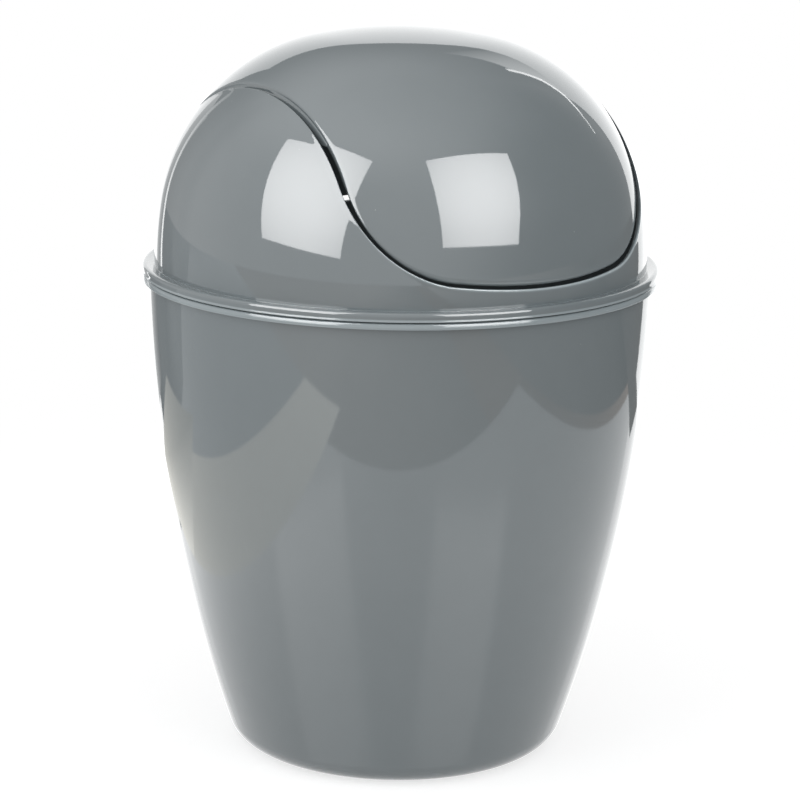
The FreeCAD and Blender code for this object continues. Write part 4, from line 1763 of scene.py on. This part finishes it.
    def top_light(self) -> None:
        """A wide lamp overhead, which gloss sees only as the pale ceiling."""
        overhead = Matrix.Translation((0.0, 0.0, self.top_z))
        lamp("top_light", LampKind.AREA, self.top_power, overhead).size = self.top_size

    def inner_light(self) -> None:
        """A faint lamp inside the bin, for the light that gets in through seam and wall."""
        inside = Matrix.Translation((0.0, 0.0, self.inner_z))
        light = lamp("inner_light", LampKind.POINT, self.inner_power, inside)
        light.shadow_soft_size = self.inner_radius

    def table_cards(self) -> None:
        """What lies round the table, seen from above: a bright sheet at its left and the dim room."""
        far = 2.7
        front, back, left, right = -0.350, 0.330, -0.370, 0.440
        inlet, sheet_front, sheet_back, trim, corner = -0.200, -0.445, 0.110, 0.475, 0.280
        sheet_side, sheet_end, room_edge, paper_right = -0.450, 0.380, -0.340, 0.310
        fold_near, fold_far = (room_edge, 0.200), (-2.200, 1.900)
        fan_side = (-0.520, 0.200), fold_near, fold_far, (-far, 1.070)
        fan_back = fold_near, (-0.190, 0.200), (-1.600, far), fold_far
        pale, cool = (1.0, 0.98, 0.91), (0.97, 1.0, 1.02)
        warm, brown = (1.0, 0.94, 0.90), (1.0, 0.80, 0.68)
        cards = [
            Card("sheet_left", oblong(left, inlet, sheet_front, sheet_back), (3.2, 3.2, 1.9, 1.9),
                 tint=pale),
            Card("sheet_back", oblong(sheet_side, inlet, sheet_back, sheet_end), (1.2, 2.5, 1.0, 0.9),
                 tint=pale),
            Card("room_side_left", fan_side, (0.7, 0.35, 0.5, 1.0), tint=cool),
            Card("room_back_left", fan_back, (0.35, 0.2, 0.2, 0.5), tint=cool),
            Card("room_left", oblong(-far, room_edge, sheet_front, far), (1.9, 1.5, 0.0, 0.2), tint=cool),
            Card("room_back_right", oblong(paper_right, far, back, far), (0.2, 0.2, 0.2, 0.2), tint=warm),
            Card("table_trim", oblong(right, trim, front, back), (0.6, 0.6, 0.6, 0.6), tint=brown),
            Card("room_right", oblong(trim, far, -far, back), (1.8, 1.8, 0.1, 0.1), tint=warm),
            Card("room_front_left", oblong(-far, left, -far, sheet_front), (1.3, 1.5, 1.5, 1.3), tint=warm),
            Card("room_front", oblong(left, corner, -far, front), (1.5, 0.7, 0.7, 1.5), tint=warm),
            Card("room_front_right", oblong(corner, trim, -far, front), (0.8, 0.7, 0.7, 0.8), tint=brown),
        ]
        for level, card in enumerate(reversed(cards)):
            height = Matrix.Translation((0.0, 0.0, self.card_z + level * self.card_step))
            card.build(self.view.turn() @ height)

    def wall_cards(self) -> None:
        """The upright surround: a lit backdrop behind the bin with bright edges."""
        upright = Matrix.Rotation(QUARTER_TURN, 4, "X")
        behind, layer = 0.450, 0.005
        bright, widths = 5.5, (0.026, 0.022, 0.016, 0.010)
        paper_left, foot_left, foot_top = -0.284, -0.400, 0.400
        paper = (paper_left, 0.0), (0.425, 0.0), (0.410, 0.555), (paper_left, 0.570)
        edge_left = strip((-0.389, 0.080), (-0.352, 0.480), 0.030)
        corner = (0.285, 0.745), (0.343, 0.606), (0.398, 0.544), (0.468, 0.504), (0.518, 0.449)
        haze = (0.150, 0.540), (0.405, 0.540), (0.290, 0.735), (0.080, 0.735)
        walls = [
            Card("backdrop_haze", haze, (0.5, 2.6, 2.4, 0.5)),
            Card("backdrop_foot", oblong(foot_left, paper_left, 0.0, foot_top), (0.3, 0.9, 1.1, 1.0)),
            Card("backdrop", paper, (1.9, 2.4, 2.2, 1.7)),
            Card("edge_left", edge_left, (3.0, 3.0, 0.9, 0.9)),
        ]
        for number, (start, end, width) in enumerate(zip(corner[:-1], corner[1:], widths), start=1):
            walls.append(Card(f"edge_right_{number}", strip(start, end, width), (bright,) * 4))
        for level, card in enumerate(walls):
            place = Matrix.Translation((0.0, behind - level * layer, 0.0))
            card.build(self.view.turn() @ place @ upright)

    def build(self) -> None:
        """Make the camera, floor, world, cards and lamps."""
        self.view.build()
        self.floor()
        self.world()
        Surround().build(self.view)
        self.table_cards()
        self.wall_cards()
        self.top_light()
        self.inner_light()
        aim = Vector((0.0, 0.0, self.aim_z))
        for softbox in self.softboxes():
            softbox.build(self.view, aim)
        log.info("studio: %d softboxes", len(self.softboxes()))


def main() -> None:
    """Build the bin from the bottom up, then the studio round it."""
    logging.basicConfig(level=logging.INFO, format="%(name)s %(message)s")
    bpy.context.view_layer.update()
    bpy.context.scene.view_settings.view_transform = "Standard"
    effects = Effects(moulded_tone(), handling_marks(), moulded_skin())
    grey, natural = (0.172, 0.198, 0.208), (0.30, 0.30, 0.29)
    bin_finish = MouldedPlastic("bin_grey_gloss", grey, roughness=0.05).build(effects)
    lid_finish = MouldedPlastic("lid_grey_gloss", grey, roughness=0.035).build(effects)
    pin_plastic = MouldedPlastic("pin_natural", natural, roughness=0.45, dust=0.0, grain=0.004 * MM)
    pin_finish = pin_plastic.build(effects)
    Bucket.from_frame().build(bin_finish)
    shape = LidShape.from_frame()
    LidCollar(shape).build(lid_finish)
    SwingFlap(shape).build(lid_finish)
    PivotPins().build(pin_finish)
    Studio(Viewpoint()).build()


if __name__ == "__main__":
    main()
